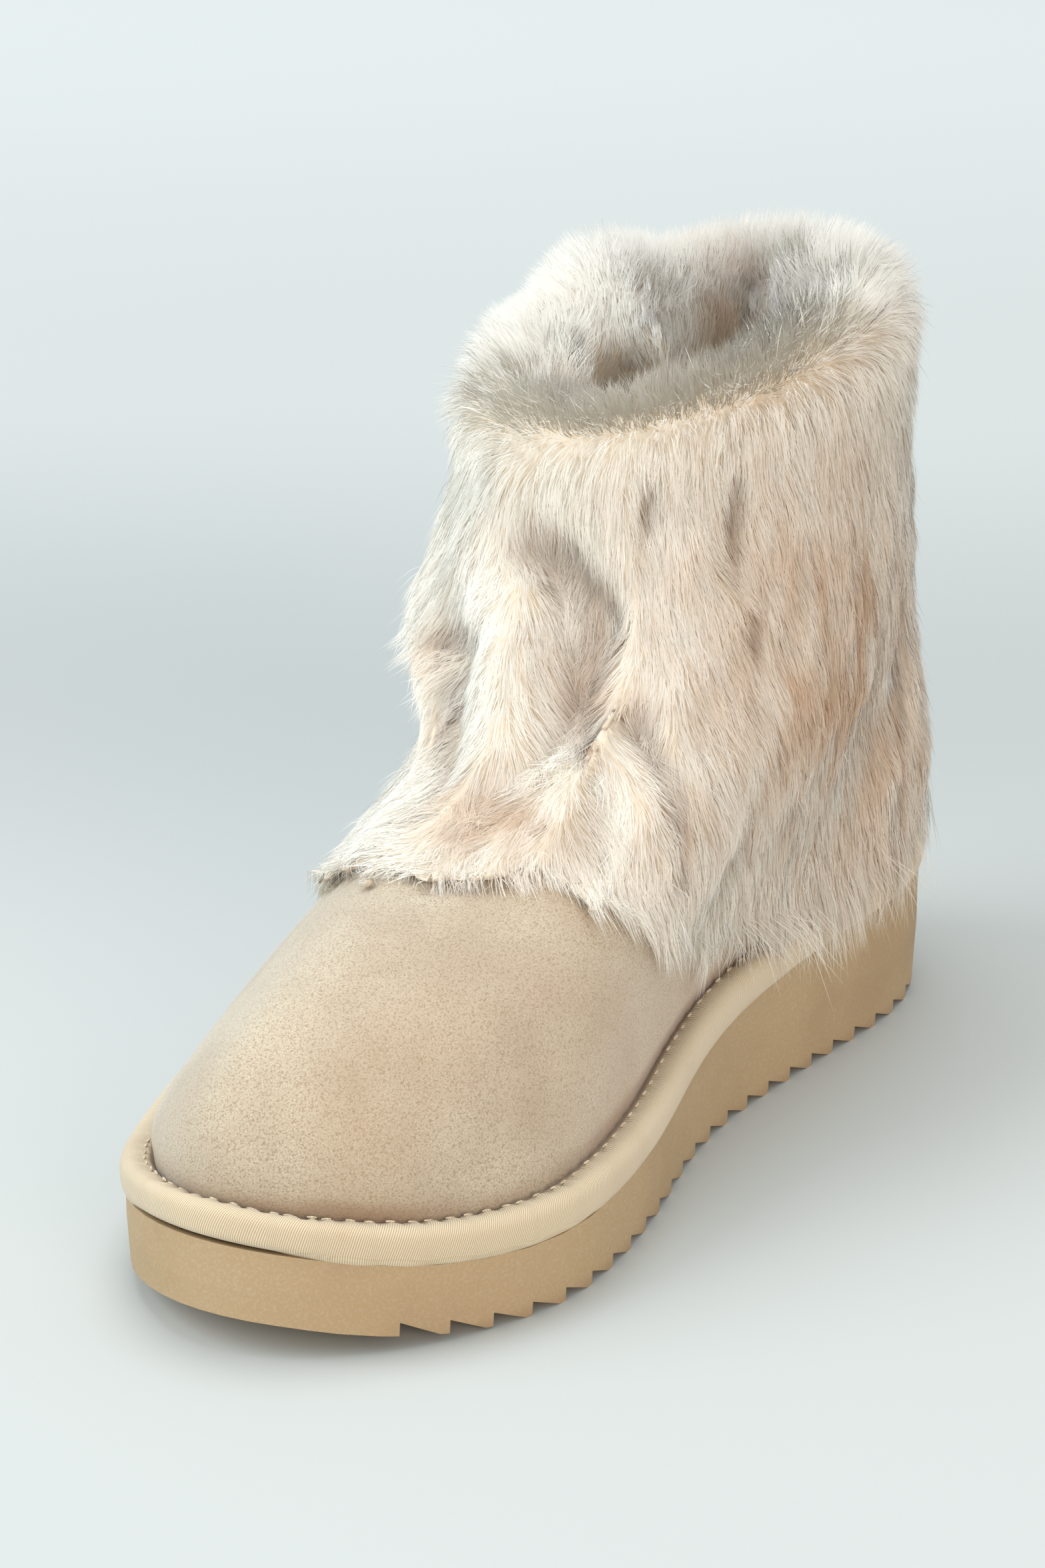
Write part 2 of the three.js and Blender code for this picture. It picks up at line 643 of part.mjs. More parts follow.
function furryCuffGeometry() {
  let cuff = solidOf(cuffGeometry());
  const { low, span, apart, wander, uneven, lowest } = lockLayout;
  const count = Math.round((Math.PI * ballWidth) / (apart * lockWidth));
  const rows = Math.floor((span * shaftHeight) / lockRowDrop);
  for (let row = 0; row < rows; row += 1) {
    const up = low + (span * row) / rows;
    for (let copy = 0; copy < count; copy += 1) {
      const off = wander * Math.sin(copy * 2.4 + row * 1.7);
      const angle = (fullTurn * (copy + (row % 2) / 2 + off + 1)) / (count + 1);
      const longer = 1 + uneven * Math.sin(copy * 1.3 + row * 2.1);
      const length = (row === 0 ? lowest : 1) * lockLength;
      cuff = cuff.add(lockSolid(up, angle % fullTurn, length * longer));
    }
  }
  return withoutPockets(geometryOf(cuff));
}

// Finishes: colours read from the real pieces

const finishes = {
  foam: new THREE.MeshStandardMaterial({ color: 0xb99c74, roughness: 0.78, metalness: 0 }),
  tape: new THREE.MeshStandardMaterial({ color: 0xcbb795, roughness: 0.86, metalness: 0 }),
  suede: new THREE.MeshStandardMaterial({ color: 0xd2b79e, roughness: 0.96, metalness: 0 }),
  lining: new THREE.MeshStandardMaterial({ color: 0xd9c7ab, roughness: 0.98, metalness: 0 }),
  fur: new THREE.MeshStandardMaterial({ color: 0xe6dccd, roughness: 0.98, metalness: 0 }),
};

function piece(name, geometry, finish) {
  const mesh = new THREE.Mesh(geometry, finish);
  mesh.name = name;
  return mesh;
}

const boot = new THREE.Group();
boot.add(
  piece('outsole', outsoleGeometry(), finishes.foam),
  piece('wrapped_board', boardGeometry(), finishes.tape),
  piece('upper', upperGeometry(), finishes.suede),
  piece('insole', insoleGeometry(), finishes.lining),
  piece('fur_cuff', furryCuffGeometry(), finishes.fur),
);

export default boot;
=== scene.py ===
import math
import bmesh
import bpy
import numpy as np
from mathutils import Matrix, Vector, noise
from mathutils.bvhtree import BVHTree
from mathutils.kdtree import KDTree


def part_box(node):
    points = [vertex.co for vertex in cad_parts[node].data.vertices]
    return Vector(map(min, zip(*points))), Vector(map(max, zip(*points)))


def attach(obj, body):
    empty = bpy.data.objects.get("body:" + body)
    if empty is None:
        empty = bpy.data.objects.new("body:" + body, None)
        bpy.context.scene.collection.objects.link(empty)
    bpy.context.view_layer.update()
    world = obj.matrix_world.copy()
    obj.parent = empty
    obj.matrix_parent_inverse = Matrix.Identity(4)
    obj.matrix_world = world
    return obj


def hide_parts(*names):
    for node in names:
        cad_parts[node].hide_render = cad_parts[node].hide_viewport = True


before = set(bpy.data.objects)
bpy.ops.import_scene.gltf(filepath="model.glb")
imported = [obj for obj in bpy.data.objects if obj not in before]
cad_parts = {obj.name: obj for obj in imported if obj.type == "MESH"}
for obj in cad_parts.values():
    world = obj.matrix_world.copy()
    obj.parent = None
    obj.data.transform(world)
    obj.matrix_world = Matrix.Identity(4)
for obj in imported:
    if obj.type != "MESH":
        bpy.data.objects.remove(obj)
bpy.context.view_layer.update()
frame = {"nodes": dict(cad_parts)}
mm = 0.001
print("boot loaded:", ", ".join(frame["nodes"]))

# The toe points to +X and the inner side of the foot to +Y. Sizes in the dictionaries are
# millimetres unless a note says otherwise, and become metres where they are used.


# Helpers for nodes and materials

def colour(code):
    parts = [int(code[i:i + 2], 16) / 255 for i in (0, 2, 4)]
    return [c / 12.92 if c <= 0.04045 else ((c + 0.055) / 1.055) ** 2.4 for c in parts] + [1]


def addNode(tree, kind, settings=None, **values):
    node = tree.nodes.new(kind)
    for key, value in (settings or {}).items():
        setattr(node, key, value)
    for key, value in values.items():
        setSocket(tree, node.inputs[key.replace("_", " ")], value)
    return node


def setSocket(tree, socket, value):
    if isinstance(value, bpy.types.NodeSocket):
        tree.links.new(value, socket)
    else:
        socket.default_value = value


def mixColour(tree, factor, first, second, blend="MIX"):
    node = addNode(tree, "ShaderNodeMix", {"data_type": "RGBA", "blend_type": blend})
    for index, value in ((0, factor), (6, first), (7, second)):
        setSocket(tree, node.inputs[index], value)
    return node.outputs[2]


def sums(tree, operation, first, second=0.0, clamp=False):
    node = addNode(tree, "ShaderNodeMath", {"operation": operation, "use_clamp": clamp})
    setSocket(tree, node.inputs[0], first)
    setSocket(tree, node.inputs[1], second)
    return node.outputs[0]


def ease(tree, value, low, high):
    node = addNode(tree, "ShaderNodeMapRange", {"interpolation_type": "SMOOTHSTEP"})
    for name, part in (("Value", value), ("From Min", low), ("From Max", high)):
        setSocket(tree, node.inputs[name], part)
    return node.outputs["Result"]


def newGroup(name, inputs, outputs):
    group = bpy.data.node_groups.new(name, "ShaderNodeTree")
    for label, kind, value in inputs:
        socket = group.interface.new_socket(label, in_out="INPUT", socket_type="NodeSocket" + kind)
        if value is not None:
            socket.default_value = value
    for label, kind in outputs:
        group.interface.new_socket(label, in_out="OUTPUT", socket_type="NodeSocket" + kind)
    return group, group.nodes.new("NodeGroupInput").outputs, group.nodes.new("NodeGroupOutput").inputs


def useGroup(tree, group, **values):
    node = tree.nodes.new("ShaderNodeGroup")
    node.node_tree = group
    for key, value in values.items():
        setSocket(tree, node.inputs[key.replace("_", " ")], value)
    return node.outputs


def newMaterial(name, **plain):
    material = bpy.data.materials.new(name)
    material.use_nodes = True
    tree = material.node_tree
    shader = tree.nodes["Principled BSDF"]
    for key, value in plain.items():
        shader.inputs[key.replace("_", " ")].default_value = value
    return material, tree, shader


def pointMask(tree, name):
    # The red of a colour that a mesh keeps at its points.
    kept = addNode(tree, "ShaderNodeAttribute", {"attribute_name": name})
    return addNode(tree, "ShaderNodeSeparateColor", Color=kept.outputs["Color"]).outputs["Red"]


def keepMask(mesh, name, share):
    kept = mesh.attributes.new(name, "FLOAT_COLOR", "POINT")
    kept.data.foreach_set("color", np.repeat(share, 4))


def bump(tree, shader, height, distance, strength=1.0):
    node = addNode(tree, "ShaderNodeBump", Height=height, Distance=distance, Strength=strength)
    tree.links.new(node.outputs["Normal"], shader.inputs["Normal"])


def makeNapGroup():
    # Brushed nap: fine light and dark specks over soft cloudy patches.
    group, given, wanted = newGroup(
        "brushedNap",
        [("Vector", "Vector", None), ("Light", "Color", colour("e0c8b0")),
         ("Middle", "Color", colour("d2b79e")), ("Dark", "Color", colour("a88a70")),
         ("Fineness", "Float", 1400.0), ("Cloudiness", "Float", 0.35)],
        [("Color", "Color"), ("Height", "Float")])
    fine = addNode(group, "ShaderNodeTexNoise", Vector=given["Vector"], Scale=given["Fineness"],
                   Detail=3.0, Roughness=0.65)
    coarse = addNode(group, "ShaderNodeTexNoise", Vector=given["Vector"], Detail=3.0,
                     Scale=sums(group, "MULTIPLY", given["Fineness"], 0.55), Roughness=0.6)
    cloud = addNode(group, "ShaderNodeTexNoise", Vector=given["Vector"], Scale=38.0, Detail=4.0)
    speck = mixColour(group, ease(group, fine.outputs["Fac"], 0.44, 0.64), given["Middle"], given["Light"])
    low = sums(group, "MULTIPLY", ease(group, coarse.outputs["Fac"], 0.52, 0.34), 0.7)
    speck = mixColour(group, low, speck, given["Dark"])
    patch = sums(group, "MULTIPLY", ease(group, cloud.outputs["Fac"], 0.4, 0.68), given["Cloudiness"])
    group.links.new(mixColour(group, patch, speck, given["Dark"]), wanted["Color"])
    height = sums(group, "ADD", fine.outputs["Fac"], coarse.outputs["Fac"])
    group.links.new(height, wanted["Height"])
    return group


napGroup = makeNapGroup()


# Helpers for meshes

def meshOfNode(nodeName, mergeWithin=0.01):
    shape = bmesh.new()
    shape.from_mesh(frame["nodes"][nodeName].data)
    bmesh.ops.remove_doubles(shape, verts=shape.verts, dist=mergeWithin * mm)
    shape.normal_update()
    return shape


def joinTriangles(shape):
    bmesh.ops.join_triangles(shape, faces=shape.faces, angle_face_threshold=math.radians(50),
                             angle_shape_threshold=math.radians(180))


def newPiece(name, shape, materials, slot, *replaced):
    mesh = bpy.data.meshes.new(name)
    shape.to_mesh(mesh)
    shape.free()
    mesh.shade_smooth()
    return placePiece(bpy.data.objects.new(name, mesh), materials, slot, *replaced)


def placePiece(piece, materials, slot, *replaced):
    bpy.context.collection.objects.link(piece)
    for material in materials:
        piece.data.materials.append(material)
    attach(piece, "root")
    if replaced:
        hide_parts(*replaced)
    return piece


def applyModifiers(piece):
    graph = bpy.context.evaluated_depsgraph_get()
    mesh = bpy.data.meshes.new_from_object(piece.evaluated_get(graph))
    piece.modifiers.clear()
    piece.data = mesh
    piece.data.shade_smooth()


def treeOf(piece):
    graph = bpy.context.evaluated_depsgraph_get()
    return BVHTree.FromObject(piece, graph)


def vertexArray(mesh):
    places = np.empty(len(mesh.vertices) * 3)
    mesh.vertices.foreach_get("co", places)
    return places.reshape(-1, 3)


def normalArray(mesh):
    normals = np.empty(len(mesh.vertices) * 3)
    mesh.vertex_normals.foreach_get("vector", normals)
    return normals.reshape(-1, 3)


def nearLine(points, path):
    # Distance of each point from a path of given corners, both in metres.
    best = np.full(len(points), 1e9)
    for start, end in zip(path[:-1], path[1:]):
        run = end - start
        share = np.clip((points - start) @ run / (run @ run), 0, 1)
        best = np.minimum(best, np.linalg.norm(points - (start + share[:, None] * run), axis=1))
    return best


def foldShift(points, folds):
    # How far each point sinks (above 0) or rises (below 0) for a table of soft troughs and ridges.
    shift = np.zeros(len(points))
    for fold in folds:
        away = nearLine(points, np.array(fold["path"], float) * mm) / (fold["wide"] * mm)
        shift += fold["deep"] * mm * np.exp(-away * away)
    return shift


def moveAlongNormals(mesh, shift):
    places = vertexArray(mesh) - normalArray(mesh) * shift[:, None]
    mesh.vertices.foreach_set("co", places.ravel())
    mesh.update()


def unit(vectors):
    return vectors / np.maximum(np.linalg.norm(vectors, axis=1), 1e-9)[:, None]


def between(values, low, high):
    share = np.clip((values - low) / (high - low), 0, 1)
    return share * share * (3 - 2 * share)


def noiseAt(places, scale, offset):
    return np.array([noise.noise(Vector(p) * scale + Vector((offset, 0, 0))) for p in places])


# Camera, lights and floor

stage = {
    "camera": (964, 554, 477),
    "aim": (114, 0, 86),
    "lens": 113.0,
    "floorSize": 6000,
    "floorAway": (-0.867, -0.498, 0),  # over the floor, away from the camera
    # Colours of the floor at distances behind the heel, in metres: painted shade in a darker band just
    # behind the boot, growing lighter far away
    "paintedFloorShading": [(-0.08, "b9bfbe"), (0.2, "a8aead"), (0.5, "b8bebd"), (1.15, "c6cccb")],
    "worldColour": "e8ecee",
    "worldStrength": 0.92,
    # Name, place and width in metres, power in watts and tint of each round soft light
    "lights": [
        ("keyLeft", (2.1, -2.0, 2.2), 2.8, 84, "fbfdff"),
        ("topSoft", (-0.2, -0.3, 3.2), 2.2, 45, "fbfdff"),
        ("fillRight", (1.6, 2.4, 0.8), 1.8, 38, "ffe0c8"),
        ("fillFront", (2.6, 0.6, 0.5), 1.4, 6, "fff6ec"),
    ],
    "lightsAim": (0.09, 0, 0.07),
}


def makeCamera():
    camera = bpy.data.objects.new("camera", bpy.data.cameras.new("camera"))
    bpy.context.collection.objects.link(camera)
    camera.location = Vector(stage["camera"]) * mm
    look = Vector(stage["aim"]) * mm - camera.location
    camera.rotation_euler = look.to_track_quat("-Z", "Y").to_euler()
    camera.data.lens = stage["lens"]
    camera.data.sensor_width = 36
    bpy.context.scene.camera = camera


def makeLight(name, place, size, power, tint):
    lamp = bpy.data.lights.new(name, "AREA")
    lamp.shape = "DISK"
    lamp.size = size
    lamp.energy = power
    lamp.color = colour(tint)[:3]
    light = bpy.data.objects.new(name, lamp)
    bpy.context.collection.objects.link(light)
    light.location = place
    look = Vector(stage["lightsAim"]) - light.location
    light.rotation_euler = look.to_track_quat("-Z", "Y").to_euler()


def makeFloor():
    shape = bmesh.new()
    bmesh.ops.create_grid(shape, x_segments=2, y_segments=2, size=stage["floorSize"] * mm)
    mesh = bpy.data.meshes.new("floor")
    shape.to_mesh(mesh)
    shape.free()
    floor = bpy.data.objects.new("floor", mesh)
    bpy.context.collection.objects.link(floor)
    material, tree, shader = newMaterial("paleFloor", Roughness=0.85)
    where = addNode(tree, "ShaderNodeTexCoord").outputs["Object"]
    away = addNode(tree, "ShaderNodeVectorMath", {"operation": "DOT_PRODUCT"})
    tree.links.new(where, away.inputs[0])
    away.inputs[1].default_value = stage["floorAway"]
    depth = away.outputs["Value"]
    # The floor's colour bands are painted shade and light, set by distance behind the heel.
    floorShadeBands = stage["paintedFloorShading"]
    tone = colour(floorShadeBands[0][1])
    for (start, _), (end, code) in zip(floorShadeBands[:-1], floorShadeBands[1:]):
        tone = mixColour(tree, ease(tree, depth, start, end), tone, colour(code))
    tree.links.new(tone, shader.inputs["Base Color"])
    mesh.materials.append(material)


def makeStage():
    makeCamera()
    makeFloor()
    world = bpy.data.worlds.new("studio")
    bpy.context.scene.world = world
    world.use_nodes = True
    backdrop = world.node_tree.nodes["Background"]
    backdrop.inputs["Color"].default_value = colour(stage["worldColour"])
    backdrop.inputs["Strength"].default_value = stage["worldStrength"]
    for light in stage["lights"]:
        makeLight(*light)
    bpy.context.scene.view_settings.view_transform = "Standard"
    bpy.context.scene.view_settings.look = "None"
    print("camera, lights and floor made")


makeStage()


# Tape: the line of its outermost edge, read from the board by rays to both sides

tape = {
    "light": "ddd5bd",
    "middle": "cbbd9f",
    "dark": "ae9878",
    # Dirt and painted shade in the crease next to the upper
    "tapeDirtAndShade": "8a6c4f",
    "lineHeight": 3.0,  # of the edge line over the board's underside
    "lineOut": 3.0,  # of the edge line outside the tape
    "ledgeTop": 5.6,  # over the edge line
    "ledgeWidth": 7.6,
    "ribPitch": 0.52,
    "ribSlant": 0.35,
    "tapeDirtAndShadeReach": 1.2,
    "puckerPitch": 5.0,
    "puckerDepth": 0.45,
    "grooveInside": 2.2,
    "grooveOutside": 1.0,
    "lowerEdgeWave": 0.25,
    "lowerEdgeDrop": 1.1,
    "stitchOff": 1.4,  # from the foot of the upper
    "stitchRise": 0.15,
    "stitchLength": 2.2,
    "stitchThick": 0.6,
    "stitchLean": 0.12,
    "thread": "dccdb2",
}


def readEdgeLine(steps=160, endRoom=12):
    low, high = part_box("wrapped_board")
    board = BVHTree.FromBMesh(meshOfNode("wrapped_board"))
    ends = low[0] + endRoom * mm, high[0] - endRoom * mm
    middle = -2 * mm

    def lineAt(x, way):
        # Where a level ray from the middle of the board leaves it.
        below = Vector((min(max(x, ends[0]), ends[1]), middle, -0.1))
        under = board.ray_cast(below, Vector((0, 0, 1)))[0].z
        return board.ray_cast(Vector((x, middle, under + tape["lineHeight"] * mm)), Vector(way))[0]

    heel, toe = lineAt(ends[0], (-1, 0, 0)), lineAt(ends[1], (1, 0, 0))
    inner, outer = [], []
    for step in range(1, steps):
        x = heel.x + (toe.x - heel.x) * (1 - math.cos(math.pi * step / steps)) / 2
        for side, way in ((inner, 1), (outer, -1)):
            hit = lineAt(x, (0, way, 0))
            if hit:
                side.append(tuple(hit))
    line = np.array([tuple(heel), *inner, tuple(toe), *outer[::-1], tuple(heel)])
    # A little outside the tape, so that every point of the tape lies inside the line
    ahead = np.roll(line[:-1], -1, axis=0) - np.roll(line[:-1], 1, axis=0)
    out = unit(np.stack([ahead[:, 1] * -1, ahead[:, 0], ahead[:, 0] * 0], 1)) * tape["lineOut"] * mm
    line[:-1] += out
    line[-1] = line[0]
    return line


edgeLine = readEdgeLine()
edgeRun = np.concatenate([[0], np.cumsum(np.linalg.norm(np.diff(edgeLine, axis=0), axis=1))])


def alongEdge(points):
    # Length along the edge line and distance inside it, seen from above, for each point.
    flat = edgeLine[:, :2]
    best = np.full(len(points), 1e9)
    run = np.zeros(len(points))
    for i in range(len(flat) - 1):
        span = flat[i + 1] - flat[i]
        share = np.clip((points[:, :2] - flat[i]) @ span / (span @ span), 0, 1)
        away = points[:, :2] - (flat[i] + share[:, None] * span)
        distance = np.hypot(away[:, 0], away[:, 1])
        closer = distance < best
        best[closer] = distance[closer]
        run[closer] = edgeRun[i] + share[closer] * (edgeRun[i + 1] - edgeRun[i])
    return run, best - tape["lineOut"] * mm


def edgePlace(run, inset):
    # Point and direction on the edge line, moved inwards, at a length along it.
    run = run % edgeRun[-1]
    place = np.array([np.interp(run, edgeRun, edgeLine[:, k]) for k in range(3)])
    ahead = np.array([np.interp((run + mm) % edgeRun[-1], edgeRun, edgeLine[:, k]) for k in range(3)])
    way = ahead - place
    way /= np.linalg.norm(way)
    inward = np.array([way[1], -way[0], 0])
    return Vector(place + inward * (inset + tape["lineOut"] * mm)), Vector(way), Vector(inward)


def readCrease(start=-10):
    # How far inside the edge the foot of the upper stands on the ledge.
    upper = BVHTree.FromBMesh(meshOfNode("upper"))
    insets = []
    for run in edgeRun:
        spot, way, inward = edgePlace(run, start * mm)
        hit = upper.ray_cast(spot + Vector((0, 0, (tape["ledgeTop"] + 0.6) * mm)), inward)
        insets.append(hit[3] + start * mm if hit[0] else tape["ledgeWidth"] * mm)
    return np.array(insets)


creaseInset = readCrease()


# Outsole: tan foam with a fine skin

outsoleLooks = {
    "light": "ae9b7c",
    "middle": "a8926f",
    "dark": "876c50",
    "roughness": 0.78,
    "fineness": 1500.0,
    "treadHeight": 4.0,
}


def evenSide(mesh):
    # Normals on the side follow the smooth edge line, and every other face stays flat.
    corner = np.empty(len(mesh.loops), dtype=np.int32)
    mesh.loops.foreach_get("vertex_index", corner)
    sizes = np.array([face.loop_total for face in mesh.polygons])
    flat = np.repeat(np.array([tuple(face.normal) for face in mesh.polygons]), sizes, axis=0)
    run, _ = alongEdge(vertexArray(mesh))
    ahead = np.roll(edgeLine[:-1], -2, axis=0) - np.roll(edgeLine[:-1], 2, axis=0)
    ahead = np.concatenate([ahead, ahead[:1]])
    outX, outY = np.interp(run, edgeRun, -ahead[:, 1]), np.interp(run, edgeRun, ahead[:, 0])
    out = unit(np.stack([outX, outY, run * 0], 1))[corner]
    out *= np.sqrt(1 - flat[:, 2] ** 2)[:, None]
    out[:, 2] = flat[:, 2]
    side = (np.abs(flat[:, 2]) < 0.5) & ((out * flat).sum(1) > 0.9)
    mesh.normals_split_custom_set(np.where(side[:, None], out, flat).tolist())


def makeOutsole():
    material, tree, shader = newMaterial("tanFoam", Roughness=outsoleLooks["roughness"])
    where = addNode(tree, "ShaderNodeTexCoord").outputs["Object"]
    grain = useGroup(tree, napGroup, Vector=where, Light=colour(outsoleLooks["light"]),
                     Middle=colour(outsoleLooks["middle"]), Dark=colour(outsoleLooks["middle"]),
                     Fineness=outsoleLooks["fineness"], Cloudiness=0.0)
    cloud = addNode(tree, "ShaderNodeTexNoise", Vector=where, Scale=26.0, Detail=4.0)
    tone = mixColour(tree, sums(tree, "MULTIPLY", ease(tree, cloud.outputs["Fac"], 0.42, 0.7), 0.3),
                     grain["Color"], colour(outsoleLooks["dark"]))
    height = addNode(tree, "ShaderNodeSeparateXYZ", Vector=where).outputs["Z"]
    tread = sums(tree, "MULTIPLY", ease(tree, height, outsoleLooks["treadHeight"] * mm, 0.0), 0.35)
    tone = mixColour(tree, tread, tone, colour(outsoleLooks["dark"]))
    tree.links.new(tone, shader.inputs["Base Color"])
    bump(tree, shader, grain["Height"], 0.05 * mm, 0.5)
    shape = meshOfNode("outsole", 0.02)
    bmesh.ops.dissolve_limit(shape, angle_limit=math.radians(1), verts=shape.verts, edges=shape.edges)
    piece = newPiece("foamOutsole", shape, [material], "foam_sole", "outsole")
    evenSide(piece.data)
    print("outsole made")


makeOutsole()


# Tape: ribbed ribbon over the edge of the board

def tapeMaterial():
    material, tree, shader = newMaterial("ribbedTape", Roughness=0.82, Sheen_Weight=0.25,
                                         Sheen_Roughness=0.5)
    spot = addNode(tree, "ShaderNodeUVMap", {"uv_map": "tapeRun"}).outputs["UV"]
    parts = addNode(tree, "ShaderNodeSeparateXYZ", Vector=spot).outputs
    where = addNode(tree, "ShaderNodeTexCoord").outputs["Object"]
    wander = addNode(tree, "ShaderNodeTexNoise", Vector=where, Scale=60.0, Detail=2.0).outputs["Fac"]
    across = sums(tree, "ADD", parts["X"], sums(tree, "MULTIPLY", parts["Y"], tape["ribSlant"]))
    across = sums(tree, "ADD", across, sums(tree, "MULTIPLY", wander, 0.8 * mm))
    turn = 2 * math.pi / (tape["ribPitch"] * mm)
    rib = sums(tree, "SINE", sums(tree, "MULTIPLY", across, turn))
    weft = sums(tree, "SINE", sums(tree, "MULTIPLY", parts["Y"], turn * 1.3))
    rib = sums(tree, "ADD", sums(tree, "MULTIPLY", rib, 0.42), 0.5)
    weave = sums(tree, "ADD", rib, sums(tree, "MULTIPLY", weft, 0.08))
    tone = mixColour(tree, ease(tree, weave, 0.05, 0.6), colour(tape["dark"]), colour(tape["middle"]))
    tone = mixColour(tree, ease(tree, weave, 0.55, 1.0), tone, colour(tape["light"]))
    fuzz = addNode(tree, "ShaderNodeTexNoise", Vector=where, Scale=45.0, Detail=4.0).outputs["Fac"]
    fuzz = sums(tree, "MULTIPLY", ease(tree, fuzz, 0.45, 0.75), 0.3)
    tone = mixColour(tree, fuzz, tone, colour(tape["dark"]))
    # Dirt and painted shade darken the tape along the crease at the foot of the upper.
    tapeDirtAndShade = sums(tree, "MULTIPLY", pointMask(tree, "creaseDirtAndShade"), 0.6)
    tone = mixColour(tree, tapeDirtAndShade, tone, colour(tape["tapeDirtAndShade"]))
    tree.links.new(tone, shader.inputs["Base Color"])
    bump(tree, shader, weave, 0.12 * mm, 0.8)
    return material


def makeTape():
    shape = meshOfNode("wrapped_board")
    joinTriangles(shape)
    piece = newPiece("edgeTape", shape, [tapeMaterial()], "edge_tape", "wrapped_board")
    finer = piece.modifiers.new("finer", "SUBSURF")
    finer.levels = finer.render_levels = 3
    applyModifiers(piece)
    places = vertexArray(piece.data)
    run, inset = alongEdge(places)
    base = np.interp(run, edgeRun, edgeLine[:, 2])
    rise = places[:, 2] - base
    # The stitches pull the ledge down between them, and the lower edge waves a little.
    crease = np.interp(run, edgeRun, creaseInset) - inset
    fromStitch = crease - tape["stitchOff"] * mm
    reach = np.where(fromStitch > 0, tape["grooveInside"], tape["grooveOutside"]) * mm
    groove = np.exp(-(fromStitch / reach) ** 2) * (rise > 3 * mm)
    wobble = np.array([noise.noise(Vector((s * 90, 7.7, 0))) for s in run])
    pucker = 0.5 + 0.5 * np.cos(2 * np.pi * run / (tape["puckerPitch"] * mm) + 1.5 * wobble)
    places[:, 2] -= groove * (0.3 + 1.7 * pucker * (1 + wobble)) * tape["puckerDepth"] * mm
    wave = np.array([noise.noise(Vector((s * 160, 3.1, 0))) for s in run])
    lower = between(-rise, 1 * mm, 3 * mm)
    places[:, 2] += (wave * tape["lowerEdgeWave"] * mm - tape["lowerEdgeDrop"] * mm) * lower
    piece.data.vertices.foreach_set("co", places.ravel())
    # Dirt and painted shade next to the crease, fading out across the ledge.
    keepMask(piece.data, "creaseDirtAndShade", between(crease, tape["tapeDirtAndShadeReach"] * mm, 0.2 * mm))
    layer = piece.data.uv_layers.new(name="tapeRun")
    corner = np.empty(len(piece.data.loops), dtype=np.int32)
    piece.data.loops.foreach_get("vertex_index", corner)
    height = rise + inset
    span = run[corner].copy()
    # Faces that cross the start of the line keep one run of numbers.
    for face in piece.data.polygons:
        loops = slice(face.loop_start, face.loop_start + face.loop_total)
        if np.ptp(span[loops]) > edgeRun[-1] / 2:
            span[loops] = np.where(span[loops] < edgeRun[-1] / 2, span[loops] + edgeRun[-1], span[loops])
    spots = np.stack([span, height[corner] + tape["lineHeight"] * mm], 1)
    layer.data.foreach_set("uv", spots.astype(np.float32).ravel())
    print("tape made")
    return piece


tapePiece = makeTape()
tapeTree = treeOf(tapePiece)


def threadMaterial(name, tone):
    material, tree, shader = newMaterial(name, Roughness=0.6, Sheen_Weight=0.2)
    where = addNode(tree, "ShaderNodeTexCoord").outputs["Object"]
    twist = addNode(tree, "ShaderNodeTexNoise", Vector=where, Scale=2600.0, Detail=2.0).outputs["Fac"]
    shade = [c * 0.55 for c in colour(tone)[:3]] + [1]
    twisted = mixColour(tree, ease(tree, twist, 0.35, 0.65), shade, colour(tone))
    tree.links.new(twisted, shader.inputs["Base Color"])
    bump(tree, shader, twist, 0.06 * mm)
    return material


def addBead(shape, place, way, up, length, thick):
    # One short round thread, pinched at both ends.
    made = bmesh.ops.create_uvsphere(shape, u_segments=8, v_segments=6, radius=0.5)
    side = way.cross(up).normalized()
    lift = side.cross(way).normalized()
    for vert in made["verts"]:
        local = vert.co.copy()
        vert.co = place + way * local.z * length + side * local.x * thick + lift * local.y * thick


def makeStitches():
    shape = bmesh.new()
    count = round(edgeRun[-1] / (tape["puckerPitch"] * mm))
    for i in range(count):
        run = (i + 0.5) * edgeRun[-1] / count
        inset = np.interp(run, edgeRun, creaseInset) - tape["stitchOff"] * mm
        spot, way, inward = edgePlace(run, inset)
        hit = tapeTree.ray_cast(spot + Vector((0, 0, 0.02)), Vector((0, 0, -1)))[0]
        if hit:
            lean = (way + inward * tape["stitchLean"]).normalized()
            addBead(shape, hit + Vector((0, 0, tape["stitchRise"] * mm)), lean, Vector((0, 0, 1)),
                    tape["stitchLength"] * mm, tape["stitchThick"] * mm)
    newPiece("tapeStitches", shape, [threadMaterial("paleThread", tape["thread"])], "edge_tape")
    print("stitches made:", count)


makeStitches()


# Upper: suede outside, fleece inside

suede = {
    "light": "cdc7b4",
    "middle": "b5aa93",
    "dark": "89735a",
    "fineness": 3700.0,
    # Warmer, darker inner side: partly wear, partly painted shade
    "wearAndShade": "a68a6c",
    "wearAndShadeFrom": -32,  # across the boot, towards the inner side
    "wearAndShadeTo": 46,
    # Dirt and painted shade just over the stitched edge
    "grimeAndShade": "8b6d52",
    "grimeAndShadeHeight": 4.5,
    # Soft troughs (above 0) and ridges (below 0) over the vamp
    "folds": [
        {"path": [(150, -34, 70), (158, -6, 78), (152, 28, 72)], "deep": 0.8, "wide": 7},
        {"path": [(188, -40, 52), (196, -10, 66), (190, 26, 60)], "deep": 0.5, "wide": 12},
        {"path": [(120, 42, 40), (150, 47, 33), (176, 48, 30)], "deep": 0.8, "wide": 9},
        {"path": [(214, 20, 42), (206, 34, 36)], "deep": -0.7, "wide": 12},
    ],
}
fleeceLooks = {"light": "efe3cc", "middle": "dccbab", "dark": "a98f6c", "fineness": 520.0}
# A line through the middle of the boot, from the toe to the collar
bootSpine = np.array([(205, 0, 28), (112, -2, 42), (44, -6, 72), (33, -8, 175)]) * mm


